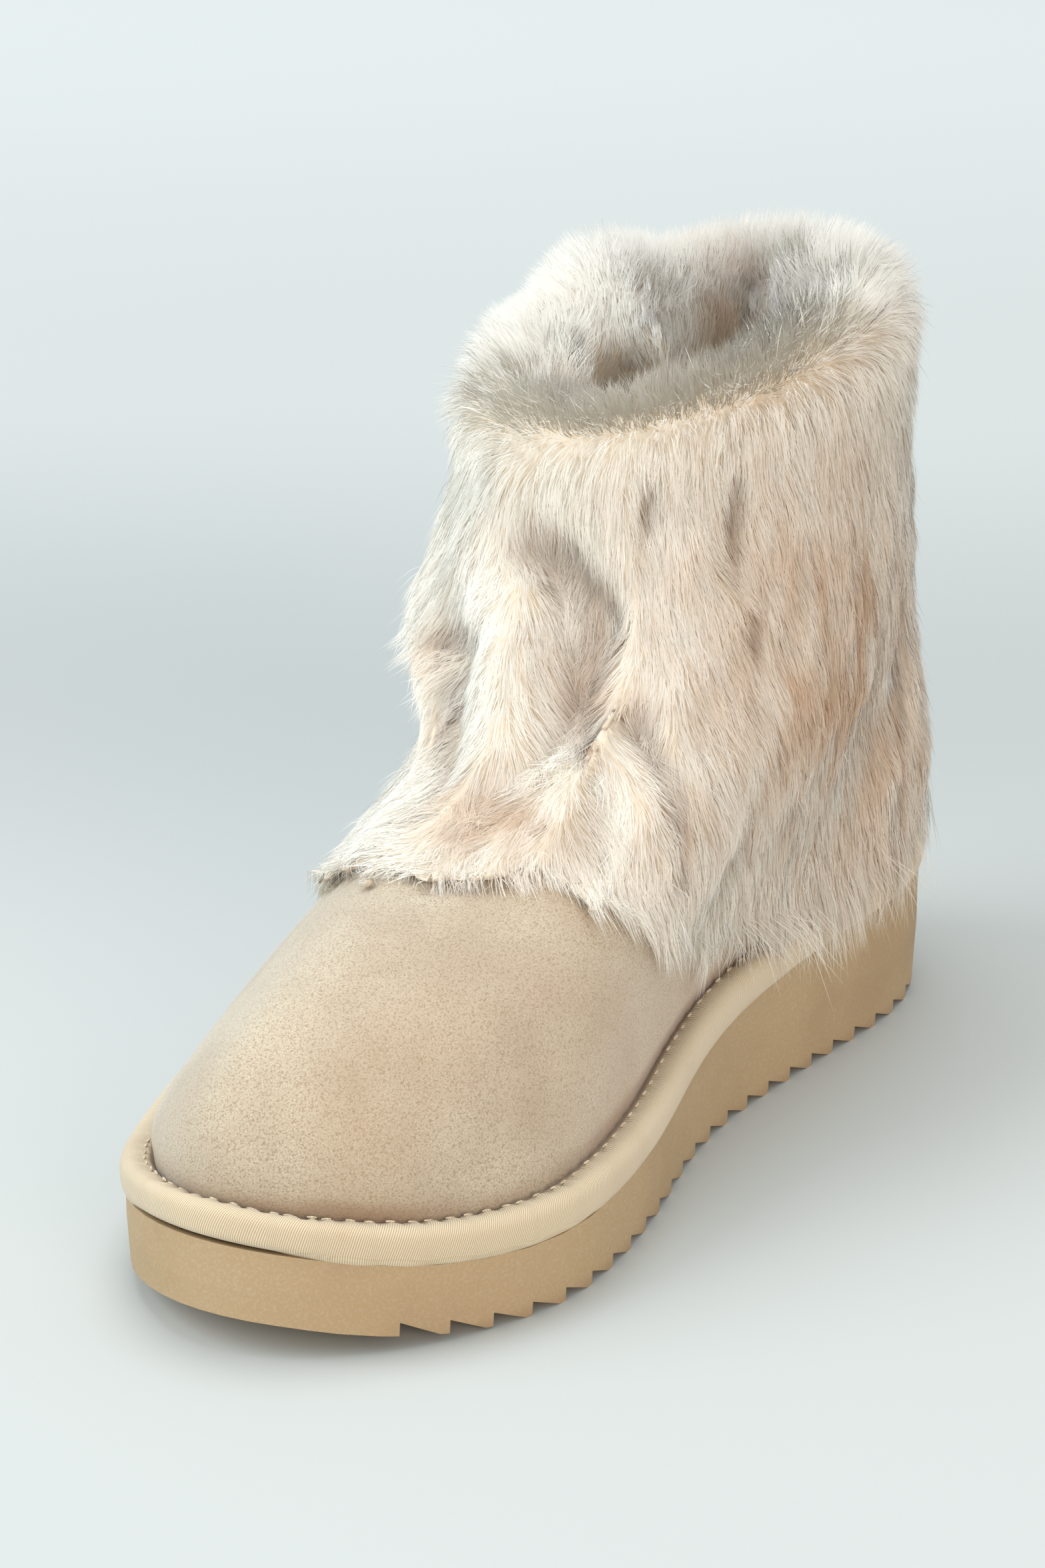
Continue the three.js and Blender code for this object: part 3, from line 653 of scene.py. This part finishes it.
def suedeMaterial():
    material, tree, shader = newMaterial("sandSuede", Roughness=0.95, Sheen_Weight=0.35,
                                         Sheen_Roughness=0.6, Specular_IOR_Level=0.2)
    where = addNode(tree, "ShaderNodeTexCoord").outputs["Object"]
    nap = useGroup(tree, napGroup, Vector=where, Light=colour(suede["light"]),
                   Middle=colour(suede["middle"]), Dark=colour(suede["dark"]),
                   Fineness=suede["fineness"], Cloudiness=0.3)
    # The inner side is warmer and darker, partly wear and partly painted shade, and dirt and painted shade
    # darken the suede over the stitched edge.
    side = addNode(tree, "ShaderNodeSeparateXYZ", Vector=where).outputs["Y"]
    cloud = addNode(tree, "ShaderNodeTexNoise", Vector=where, Scale=24.0, Detail=4.0).outputs["Fac"]
    wearAndShade = ease(tree, side, suede["wearAndShadeFrom"] * mm, suede["wearAndShadeTo"] * mm)
    wearAndShade = sums(tree, "MULTIPLY", wearAndShade, ease(tree, cloud, 0.2, 0.8))
    tone = mixColour(tree, sums(tree, "MULTIPLY", wearAndShade, 0.5), nap["Color"], colour(suede["wearAndShade"]))
    suedeDirtAndShade = sums(tree, "MULTIPLY", pointMask(tree, "grimeAndShade"), ease(tree, cloud, 0.1, 0.6))
    tone = mixColour(tree, sums(tree, "MULTIPLY", suedeDirtAndShade, 0.6), tone, colour(suede["grimeAndShade"]))
    tree.links.new(tone, shader.inputs["Base Color"])
    bump(tree, shader, nap["Height"], 0.2 * mm, 0.7)
    return material


def fleeceMaterial():
    material, tree, shader = newMaterial("creamFleece", Roughness=0.98, Sheen_Weight=0.5)
    where = addNode(tree, "ShaderNodeTexCoord").outputs["Object"]
    nap = useGroup(tree, napGroup, Vector=where, Light=colour(fleeceLooks["light"]),
                   Middle=colour(fleeceLooks["middle"]), Dark=colour(fleeceLooks["dark"]),
                   Fineness=fleeceLooks["fineness"], Cloudiness=0.3)
    tree.links.new(nap["Color"], shader.inputs["Base Color"])
    bump(tree, shader, nap["Height"], 0.8 * mm, 0.9)
    return material


fleece = fleeceMaterial()


def outwardFrom(points):
    # Direction of each point from the line that runs through the middle of the boot.
    best = np.full(len(points), 1e9)
    away = np.zeros_like(points)
    for start, end in zip(bootSpine[:-1], bootSpine[1:]):
        run = end - start
        share = np.clip((points - start) @ run / (run @ run), 0, 1)
        gap = points - (start + share[:, None] * run)
        distance = np.linalg.norm(gap, axis=1)
        closer = distance < best
        best[closer] = distance[closer]
        away[closer] = gap[closer]
    return away / np.linalg.norm(away, axis=1)[:, None]


def makeUpper():
    shape = meshOfNode("upper")
    joinTriangles(shape)
    piece = newPiece("suedeUpper", shape, [suedeMaterial(), fleece], "suede", "upper")
    finer = piece.modifiers.new("finer", "SUBSURF")
    finer.levels = finer.render_levels = 2
    applyModifiers(piece)
    places = vertexArray(piece.data)
    moveAlongNormals(piece.data, foldShift(places, suede["folds"]) *
                     ((normalArray(piece.data) * outwardFrom(places)).sum(1) > 0.2))
    run, _ = alongEdge(places)
    above = places[:, 2] - np.interp(run, edgeRun, edgeLine[:, 2]) - tape["ledgeTop"] * mm
    # Dirt and painted shade on the suede just above the ledge, fading out upwards.
    keepMask(piece.data, "grimeAndShade", 1 - between(above, 0, suede["grimeAndShadeHeight"] * mm))
    centres = np.empty(len(piece.data.polygons) * 3)
    normals = np.empty(len(piece.data.polygons) * 3)
    piece.data.polygons.foreach_get("center", centres)
    piece.data.polygons.foreach_get("normal", normals)
    inside = (normals.reshape(-1, 3) * outwardFrom(centres.reshape(-1, 3))).sum(1) < 0
    piece.data.polygons.foreach_set("material_index", inside.astype(np.int32))
    print("upper made:", len(piece.data.polygons), "faces")
    return piece


upperPiece = makeUpper()
upperTree = treeOf(upperPiece)


def makeInsole():
    shape = meshOfNode("insole")
    joinTriangles(shape)
    piece = newPiece("fleeceInsole", shape, [fleece], "lining", "insole")
    finer = piece.modifiers.new("finer", "SUBSURF")
    finer.levels = finer.render_levels = 2
    print("insole made")


makeInsole()


# Fur cuff: a soft shell with folds, and hair rooted all over it

fur = {
    "seed": 5,
    "voxel": 2.2,
    "shellSunk": 2.4,
    "shellOffWall": 1.2,
    "openArea": 52000,  # square millimetres of the shell that carry hair
    "strands": 228000,
    "underPieces": 1,
    "hairPieces": 4,
    "sideLength": 13.5,
    "collarLength": 12,
    "liningLength": 9,
    "hemLength": 27,
    "innerHemMore": 7,
    "thick": 0.16,
    "tuftSpacing": 7.0,
    "lockSpacing": 2.1,
    "flyaways": 0.04,
    "collarFrom": 140,  # the collar begins at this height
    "rimFrom": 160,  # and its rim, which has more hair, at this one
    "deepShare": 0.35,  # of the hair, inside the boot below the collar
    "hemOverTape": 118,  # behind this x the hem reaches over the tape
    "hemOnVamp": 100,  # before this x it lies on the vamp
    "columns": 205,  # of cells in the picture of colours
    "tipCream": "e3e3dc",
    "rootCream": "d8d1c1",
    # Tan of the pile, also standing for painted shade on the inner side and inside the collar
    "patchTanAndShade": "c4aa8f",
    # Painted shade in the folds and deep inside the collar
    "shadeTan": "806247",
    "hideShade": "cbbba2",
    # Troughs (above 0) and ridges (below 0) of the cuff, with the painted shade of each trough
    "folds": [
        {"path": [(97, -9, 135), (93, 0, 129), (95, 8, 123), (100, 9, 115), (108, 12, 107), (120, 21, 99)],
         "deep": 3.4, "wide": 4.8, "dark": 0.6},
        {"path": [(111, -16, 114), (110, -23, 103), (119, -18, 97), (131, -10, 95)],
         "deep": 2.8, "wide": 3.8, "dark": 0.5},
        {"path": [(90, -38, 110), (101, -30, 111), (109, -19, 113)],
         "deep": 3.0, "wide": 2.8, "dark": 0.65},
        {"path": [(106, 25, 105), (110, 33, 96), (112, 39, 88), (114, 43, 82)],
         "deep": 2.6, "wide": 3.4, "dark": 0.5},
        {"path": [(86, 16, 151), (88, 15, 141)], "deep": 1.6, "wide": 1.6, "dark": 0.75},
        {"path": [(72, 29, 152), (73, 30, 141), (76, 30, 130)], "deep": 1.9, "wide": 1.6, "dark": 0.8},
        {"path": [(71, 35, 125), (76, 37, 113)], "deep": 1.8, "wide": 1.6, "dark": 0.8},
        {"path": [(53, 43, 105), (52, 44, 95)], "deep": 1.8, "wide": 1.6, "dark": 0.75},
        {"path": [(86, 41, 74), (81, 41, 64)], "deep": 1.8, "wide": 1.6, "dark": 0.7},
        {"path": [(137, -4, 95), (138, 8, 92), (139, 20, 90)], "deep": 1.0, "wide": 5.0, "dark": 0.2},
        {"path": [(103, -10, 127), (117, -4, 112), (124, 3, 102)], "deep": -3.0, "wide": 7, "dark": 0},
        {"path": [(113, 24, 98), (121, 35, 89)], "deep": -2.6, "wide": 6, "dark": 0},
        {"path": [(92, -18, 150), (96, -24, 136), (98, -32, 122)], "deep": -2.0, "wide": 8, "dark": 0},
        {"path": [(22, -36, 163), (15, -33, 159), (14, -31, 146)], "deep": -15.0, "wide": 12, "dark": 0},
        {"path": [(0, 4, 168), (2, 4, 160), (2, 4, 150)], "deep": -8.0, "wide": 10, "dark": 0},
        {"path": [(-5, -13, 180), (-5, -13, 172), (-5, -13, 158)], "deep": 2.5, "wide": 3, "dark": 0.7},
        {"path": [(64, -52, 140), (72, -52, 90)], "deep": 1.2, "wide": 3, "dark": 0.25},
        {"path": [(12, -53, 150), (16, -55, 84)], "deep": 1.2, "wide": 3, "dark": 0.25},
        {"path": [(-24, -10, 140), (-27, -6, 82)], "deep": 1.2, "wide": 3, "dark": 0.25},
        {"path": [(-2, 33, 128), (6, 37, 74)], "deep": 1.2, "wide": 3, "dark": 0.25},
    ],
    # Tan areas of the pile, each fading out from a place: partly the pile's own tan, partly painted shade
    # over the inner side
    "tanAndShadePatches": [
        {"at": (50, 42, 112), "wide": 40, "tanAndShade": 0.85},
        {"at": (16, 42, 90), "wide": 40, "tanAndShade": 0.75},
        {"at": (104, 14, 116), "wide": 11, "tanAndShade": 0.85},
        {"at": (138, 10, 92), "wide": 13, "tanAndShade": 0.85},
        {"at": (118, -20, 100), "wide": 8, "tanAndShade": 0.55},
        {"at": (101, -28, 112), "wide": 7, "tanAndShade": 0.6},
        {"at": (110, 38, 86), "wide": 13, "tanAndShade": 0.5},
        {"at": (-26, -4, 105), "wide": 34, "tanAndShade": 0.45},
        {"at": (-4, -18, 158), "wide": 17, "tanAndShade": 0.75},
        {"at": (30, -52, 100), "wide": 34, "tanAndShade": 0.4},
    ],
    # White pile inside the collar, where the tan and the painted shade are left out
    "whites": [
        {"at": (26, -30, 160), "wide": 23},
        {"at": (52, -36, 166), "wide": 22},
        {"at": (5, 8, 172), "wide": 14},
    ],
    # Share of the strands that throw a shadow: real hair lets light through
    "shadowShare": 0.2,
}
collarCentre = np.array([34, -8]) * mm
furRandom = np.random.default_rng(fur["seed"])


def furMaterial(name, onStrands):
    material, tree, shader = newMaterial(name, Roughness=0.75, Sheen_Weight=0.3, Sheen_Roughness=0.35,
                                         Specular_IOR_Level=0.25)
    if onStrands:
        hair = addNode(tree, "ShaderNodeAttribute", {"attribute_name": "hair"})
        parts = addNode(tree, "ShaderNodeSeparateColor", Color=hair.outputs["Color"]).outputs
        cream = colour(fur["rootCream"]), colour(fur["tipCream"])
        tone = mixColour(tree, ease(tree, parts["Red"], 0.0, 0.55), *cream)
        # Tan, partly painted shade
        tone = mixColour(tree, parts["Blue"], tone, colour(fur["patchTanAndShade"]))
        # Painted shade in the folds and deep inside the collar, from the alpha
        tone = mixColour(tree, hair.outputs["Alpha"], tone, colour(fur["shadeTan"]))
        shade = mixColour(tree, parts["Green"], [0.93, 0.915, 0.89, 1], [1, 1, 1, 1])
        tone = mixColour(tree, 1.0, tone, shade, "MULTIPLY")
    else:
        where = addNode(tree, "ShaderNodeTexCoord").outputs["Object"]
        tone = useGroup(tree, napGroup, Vector=where, Light=colour(fur["rootCream"]),
                        Middle=colour(fur["rootCream"]), Dark=colour(fur["hideShade"]),
                        Fineness=900.0, Cloudiness=0.5)["Color"]
    tree.links.new(tone, shader.inputs["Base Color"])
    return material


def sideOfWall(wall, places, reach):
    # Signed distance of each point from a surface (above 0 outside it) and the way off it.
    distance = np.full(len(places), reach)
    way = np.zeros_like(places)
    for i, place in enumerate(places):
        spot, normal, _, _ = wall.find_nearest(Vector(place), reach)
        if spot is not None:
            way[i] = normal
            distance[i] = (Vector(place) - spot).dot(normal)
    return distance, way


def makeShell():
    piece = newPiece("furShell", meshOfNode("fur_cuff"), [furMaterial("furHide", False)], "fur", "fur_cuff")
    remesh = piece.modifiers.new("even", "REMESH")
    remesh.mode = "VOXEL"
    remesh.voxel_size = fur["voxel"] * mm
    applyModifiers(piece)
    shape = bmesh.new()
    shape.from_mesh(piece.data)
    for _ in range(3):
        bmesh.ops.smooth_vert(shape, verts=shape.verts, factor=0.5,
                              use_axis_x=True, use_axis_y=True, use_axis_z=True)
    shape.to_mesh(piece.data)
    shape.free()
    places, normals = vertexArray(piece.data), normalArray(piece.data)
    distance, way = sideOfWall(upperTree, places, 4 * mm)
    hidden = (distance < 4 * mm) & ((way * normals).sum(1) < -0.3)
    shift = foldShift(places, fur["folds"]) + fur["shellSunk"] * mm
    moveAlongNormals(piece.data, np.where(hidden, 0, shift))
    places = vertexArray(piece.data)
    distance, way = sideOfWall(upperTree, places, 4 * mm)
    short = np.where(hidden, 0, np.maximum(fur["shellOffWall"] * mm - distance, 0))
    piece.data.vertices.foreach_set("co", (places + way * short[:, None]).ravel())
    piece.data.update()
    piece.data.shade_smooth()
    print("fur shell made:", len(piece.data.polygons), "faces")
    return piece, hidden


def radialFrom(places):
    radial = np.zeros_like(places)
    radial[:, :2] = places[:, :2] - collarCentre
    return unit(radial)


def scatterRoots(mesh, hidden, count):
    # Random places on the shell, spread over its open faces, fewer deep inside the collar.
    mesh.calc_loop_triangles()
    corners = np.empty(len(mesh.loop_triangles) * 3, dtype=np.int32)
    mesh.loop_triangles.foreach_get("vertices", corners)
    corners = corners.reshape(-1, 3)
    corners = corners[~hidden[corners].any(axis=1)]
    places, normals = vertexArray(mesh), normalArray(mesh)
    a, b, c = (places[corners[:, k]] for k in range(3))
    area = np.linalg.norm(np.cross(b - a, c - a), axis=1)
    facing = (normals[corners[:, 0]] * radialFrom(a)).sum(1)
    deep = (facing < -0.3) & (a[:, 2] < fur["collarFrom"] * mm)
    chance = area * np.where(deep, fur["deepShare"], 1.0 + 0.5 * (a[:, 2] > fur["rimFrom"] * mm))
    pick = furRandom.choice(len(corners), size=count, p=chance / chance.sum())
    u, v = furRandom.random((2, count))
    flip = u + v > 1
    u[flip], v[flip] = 1 - u[flip], 1 - v[flip]
    weights = np.stack([1 - u - v, u, v], 1)[:, :, None]
    roots = (places[corners[pick]] * weights).sum(1)
    return roots, unit((normals[corners[pick]] * weights).sum(1))


def tapeTopUnder(places):
    # Height of the tape's line below each place.
    run, _ = alongEdge(places)
    return np.interp(run, edgeRun, edgeLine[:, 2]) + tape["ledgeTop"] * mm


def layStrands(shellTree, roots, normals, share, wild):
    # Root, middle and tip of each strand. Hair is combed down the sides and stands up at the collar.
    radial = radialFrom(roots)
    facing = (normals * radial).sum(1)
    inner = facing < -0.2
    height, collar = roots[:, 2], fur["collarFrom"] * mm
    crest = between(normals[:, 2], 0.2, 0.75) * (height > collar)
    pull = np.zeros_like(roots)
    pull[:, 2] = np.where(inner, -1 + 1.7 * between(height, collar, 165 * mm), -1 + 1.2 * crest)
    pull += radial * ((0.25 + 0.6 * facing) * crest)[:, None]
    side = unit(np.cross(normals, pull))
    sway = 0.34 * noiseAt(roots, 32, 2.0) + 0.3 * noiseAt(roots, 95, 9.0)
    pull = unit(pull) + side * (sway + wild * furRandom.normal(0, 0.16, len(roots)))[:, None]
    pull += crest[:, None] * furRandom.normal(0, 0.35, roots.shape)
    along = unit(pull - normals * (pull * normals).sum(1)[:, None])
    overHem = 1 - between(height - tapeTopUnder(roots), 8 * mm, 26 * mm)
    overHem = overHem * (roots[:, 0] < fur["hemOverTape"] * mm)
    onVamp = roots[:, 0] > fur["hemOnVamp"] * mm
    length = np.where(inner, fur["liningLength"], fur["sideLength"])
    length = length + (fur["collarLength"] * (1 + 0.4 * noiseAt(roots, 55, 6.0)) - length) * crest
    innerSide = fur["innerHemMore"] * between(roots[:, 1], 0, 20 * mm)
    hemLength = fur["hemLength"] + innerSide * between(roots[:, 0], 20 * mm, 60 * mm)
    length = length + (hemLength - length) * overHem * ~inner
    length = length * (1 - 0.6 * between(-normals[:, 2], 0.3, 0.8) * onVamp)
    length = length * share * mm
    nearRim = between(height, 146 * mm, 172 * mm)
    lift = 0.26 + 0.2 * nearRim + 0.75 * crest + 0.12 * noiseAt(roots, 120, 4.0)
    lift = np.clip(lift * (1 + wild * furRandom.normal(0, 0.25, len(roots))), 0.12, 1.2)
    points = [roots - normals * 0.5 * mm]
    for t in (0.5, 1):
        flat = roots + along * ((t * (1 - 0.55 * lift)) * length)[:, None]
        base, way, past = followShell(shellTree, flat, normals, crest)
        place = base + way * (lift * t * (1.15 - 0.45 * t) * length)[:, None]
        hang = past * t * length * onVamp
        place[:, 2] -= 0.4 * hang
        points.append(place - radial * (0.5 * hang)[:, None])
    return np.stack(points, 1)


def followShell(shellTree, flat, normals, crest):
    # Moves places onto the shell where it lies under them, so that hair dips into its folds.
    base, way = flat.copy(), normals.copy()
    past = np.zeros(len(flat))
    for i in np.flatnonzero(crest < 0.5):
        spot, normal, _, _ = shellTree.find_nearest(Vector(flat[i]), 9 * mm)
        if spot is None:
            past[i] = 1
            continue
        off = Vector(flat[i]) - spot
        if (off - normal * off.dot(normal)).length > 1.2 * mm:
            past[i] = off.z < 0
        elif normal.dot(Vector(normals[i])) > 0.2:
            base[i] = spot
            way[i] = (normal + Vector(normals[i])).normalized()
    return base, way, past


def nearestOf(centres, centreNormals, places, normals):
    # The nearest centre on the same side of the shell.
    tree = KDTree(len(centres))
    for index, centre in enumerate(centres + centreNormals * 5 * mm):
        tree.insert(centre, index)
    tree.balance()
    return np.array([tree.find(p)[1] for p in places + normals * 5 * mm])


def gather(points, leaders, strength):
    # Pulls strands towards their leading strand, more at the tips.
    for step, share in enumerate((0, 0.45, 1)):
        points[:, step] += (leaders[:, step] - points[:, step]) * (strength * share)[:, None]
    return points


def pushOff(points, gap):
    # Keeps the middles and tips of low strands outside the tape, and those at the front off the vamp.
    tips, vampTop = points[:, 2], 100 * mm
    low = np.flatnonzero(tips[:, 2] < tapeTopUnder(tips) + 6 * mm)
    front = np.flatnonzero((tips[:, 0] > fur["hemOnVamp"] * mm) & (tips[:, 2] < vampTop))
    for surface, mine in ((upperTree, front), (tapeTree, low)):
        for step in (1, 2):
            distance, way = sideOfWall(surface, points[mine, step], 7 * mm)
            points[mine, step] += way * np.maximum(gap * mm - distance, 0)[:, None]
    return points


def tanAndShadeAt(places, normals):
    tanAndShade = np.zeros(len(places))
    for patch in fur["tanAndShadePatches"]:
        away = np.linalg.norm(places - np.array(patch["at"]) * mm, axis=1) / (patch["wide"] * mm)
        tanAndShade = np.maximum(tanAndShade, patch["tanAndShade"] * np.exp(-away * away))
    # The lining deep inside the collar gets the tan as painted shade.
    inner = ((normals * radialFrom(places)).sum(1) < -0.1) * between(places[:, 2], 162 * mm, 146 * mm)
    return np.maximum(tanAndShade, inner) * offWhites(places)


def offWhites(places):
    share = np.ones(len(places))
    for white in fur["whites"]:
        away = np.linalg.norm(places - np.array(white["at"]) * mm, axis=1) / (white["wide"] * mm)
        share *= 1 - np.exp(-away ** 4)
    return share


def foldShade(places):
    # Painted shade along each trough.
    dark = np.zeros(len(places))
    for fold in fur["folds"]:
        if fold["dark"]:
            away = nearLine(places, np.array(fold["path"], float) * mm) / (fold["wide"] * 0.9 * mm)
            dark = np.maximum(dark, fold["dark"] * np.exp(-away * away))
    return dark


def growFur(shell, hidden):
    # Strands gather into locks, and the locks lean towards wider tufts.
    mesh, shellTree = shell.data, treeOf(shell)
    tuftCount = int(fur["openArea"] / fur["tuftSpacing"] ** 2)
    lockCount = int(fur["openArea"] / fur["lockSpacing"] ** 2)
    tuftRoots, tuftNormals = scatterRoots(mesh, hidden, tuftCount)
    tufts = layStrands(shellTree, tuftRoots, tuftNormals, 1.0, 1.0)
    lockRoots, lockNormals = scatterRoots(mesh, hidden, lockCount)
    locks = layStrands(shellTree, lockRoots, lockNormals, 0.9 + 0.2 * furRandom.random(lockCount), 1.0)
    tuftOf = nearestOf(tuftRoots, tuftNormals, lockRoots, lockNormals)
    locks = gather(locks, tufts[tuftOf], np.full(lockCount, 0.22))
    locks = pushOff(locks, 0.8)
    count = fur["strands"]
    roots, normals = scatterRoots(mesh, hidden, count)
    flyaway = furRandom.random(count) < fur["flyaways"]
    share = np.where(flyaway, 1.05, 0.72 + 0.34 * furRandom.random(count))
    strands = layStrands(shellTree, roots, normals, share, np.where(flyaway, 1.8, 0.8))
    lockOf = nearestOf(lockRoots, lockNormals, roots, normals)
    strands = gather(strands, locks[lockOf], np.where(flyaway, 0.0, 0.25 + 0.35 * furRandom.random(count)))
    strands = pushOff(strands, 0.4)
    streaks = noiseAt(lockRoots * [1, 1, 0.2], 230, 1.0)
    speckle = np.clip(0.85 + 0.4 * noiseAt(lockRoots, 60, 5.0) + 0.9 * streaks, 0, 1.25)
    tanAndShade = np.clip(tanAndShadeAt(lockRoots, lockNormals) * speckle, 0, 1)[lockOf]
    # Painted shade of the folds, and of the lining deep inside the collar, for the place on the shell under
    # each point of a strand
    inner = 0.45 * ((normals * radialFrom(roots)).sum(1) < -0.1) * between(roots[:, 2], 162 * mm, 142 * mm)
    inner = inner * offWhites(roots)
    dark = np.empty((count, 3))
    for step in range(3):
        off = strands[:, step] - roots
        flat = strands[:, step] - normals * (off * normals).sum(1)[:, None]
        dark[:, step] = np.maximum(foldShade(flat + normals * (fur["shellSunk"] + 1.5) * mm), inner)
    print("hair laid:", count, "strands")
    return roots, normals, strands, tanAndShade, dark, lockOf


def ribbonPoints(strands, normals):
    # Two points at the root, two at the middle and one at the tip of each narrow ribbon.
    count = len(strands)
    side = unit(np.cross(strands[:, 2] - strands[:, 0], normals))
    turn = furRandom.uniform(-0.9, 0.9, count)[:, None]
    side = side * np.cos(turn) + normals * np.sin(turn)
    half = side * (fur["thick"] * mm * (0.7 + 0.6 * furRandom.random(count)) / 2)[:, None]
    return np.stack([strands[:, 0] - half, strands[:, 0] + half, strands[:, 1] - half * 0.85,
                     strands[:, 1] + half * 0.85, strands[:, 2]], 1)


# Order of a ribbon's points round its lower and its upper face
ribbonCorners = [0, 1, 3, 2, 2, 3, 4]


def ribbonMesh(name, verts):
    count = len(verts)
    first = (np.arange(count) * 5)[:, None]
    corners = (first + ribbonCorners).ravel()
    starts = (np.arange(count)[:, None] * 7 + [0, 4]).ravel()
    mesh = bpy.data.meshes.new(name)
    mesh.vertices.add(count * 5)
    mesh.vertices.foreach_set("co", verts.ravel())
    mesh.loops.add(count * 7)
    mesh.loops.foreach_set("vertex_index", corners.astype(np.int32))
    mesh.polygons.add(count * 2)
    mesh.polygons.foreach_set("loop_start", starts.astype(np.int32))
    mesh.update(calc_edges=True)
    mesh.shade_smooth()
    return mesh


def cellCorners(count):
    # Each strand has a small cell of the picture of colours to itself.
    columns = fur["columns"]
    cell = np.array([1 / columns, 1 / math.ceil(count / columns)])
    low = np.stack([np.arange(count) % columns, np.arange(count) // columns], 1) * cell
    places = np.array([(0.25, 0.15), (0.75, 0.15), (0.25, 0.5), (0.75, 0.5), (0.5, 0.85)]) * cell
    return (low[:, None] + places)[:, ribbonCorners]


def strandPiece(name, roots, normals, strands, tanAndShade, dark, lockOf):
    count = len(roots)
    order = np.argsort(lockOf, kind="stable")
    normals, strands, tanAndShade, dark = normals[order], strands[order], tanAndShade[order], dark[order]
    mesh = ribbonMesh(name, ribbonPoints(strands, normals))
    # Red: root to tip. Green: the strand's own shade. Blue: tan, partly painted shade. Alpha: painted shade
    # in the folds and deep inside the collar.
    share = np.tile([0, 0, 0.5, 0.5, 1.0], count)
    own = np.repeat(furRandom.random(count), 5)
    # Painted shade, a little less towards the tip
    paintedShade = dark[:, [0, 0, 1, 1, 2]].ravel() * (1 - 0.35 * share)
    hair = mesh.attributes.new("hair", "FLOAT_COLOR", "POINT")
    hair.data.foreach_set("color", np.stack([share, own, np.repeat(tanAndShade, 5), paintedShade], 1).ravel())
    layer = mesh.uv_layers.new(name="OFBake")
    layer.data.foreach_set("uv", cellCorners(count).astype(np.float32).ravel())
    # Hair on the inner slope of the collar stands up, so it takes the light as its crest does.
    radial = radialFrom(strands[:, 0])
    inward = np.minimum((normals * radial).sum(1), 0) * between(strands[:, 0, 2], 150 * mm, 166 * mm)
    lit = unit(normals - radial * (1.2 * inward)[:, None] - [0, 0, 0.4] * inward[:, None])
    mesh.normals_split_custom_set_from_vertices(np.repeat(lit, 5, axis=0).tolist())
    return placePiece(bpy.data.objects.new(name, mesh), [strandMaterial], "fur", "fur_cuff")


strandMaterial = furMaterial("furHair", True)


def makeFur():
    shell, hidden = makeShell()
    laid = growFur(shell, hidden)
    roots = laid[0]
    bearing = np.arctan2(roots[:, 1] - collarCentre[1], roots[:, 0] - collarCentre[0])
    shades = furRandom.random(len(roots)) < fur["shadowShare"]
    # Pieces hold equal numbers of strands and go round the leg. Only furUnder throws shadows.
    layers = ("furUnder", shades, fur["underPieces"]), ("furHair", ~shades, fur["hairPieces"])
    for label, chosen, pieces in layers:
        order = np.flatnonzero(chosen)[np.argsort(bearing[chosen])]
        for number, mine in enumerate(np.array_split(order, pieces)):
            piece = strandPiece("%s%d" % (label, number + 1), *[part[mine] for part in laid])
            piece.visible_shadow = label == "furUnder"
            print(piece.name, "has", len(mine), "strands")


makeFur()


print("all pieces made")
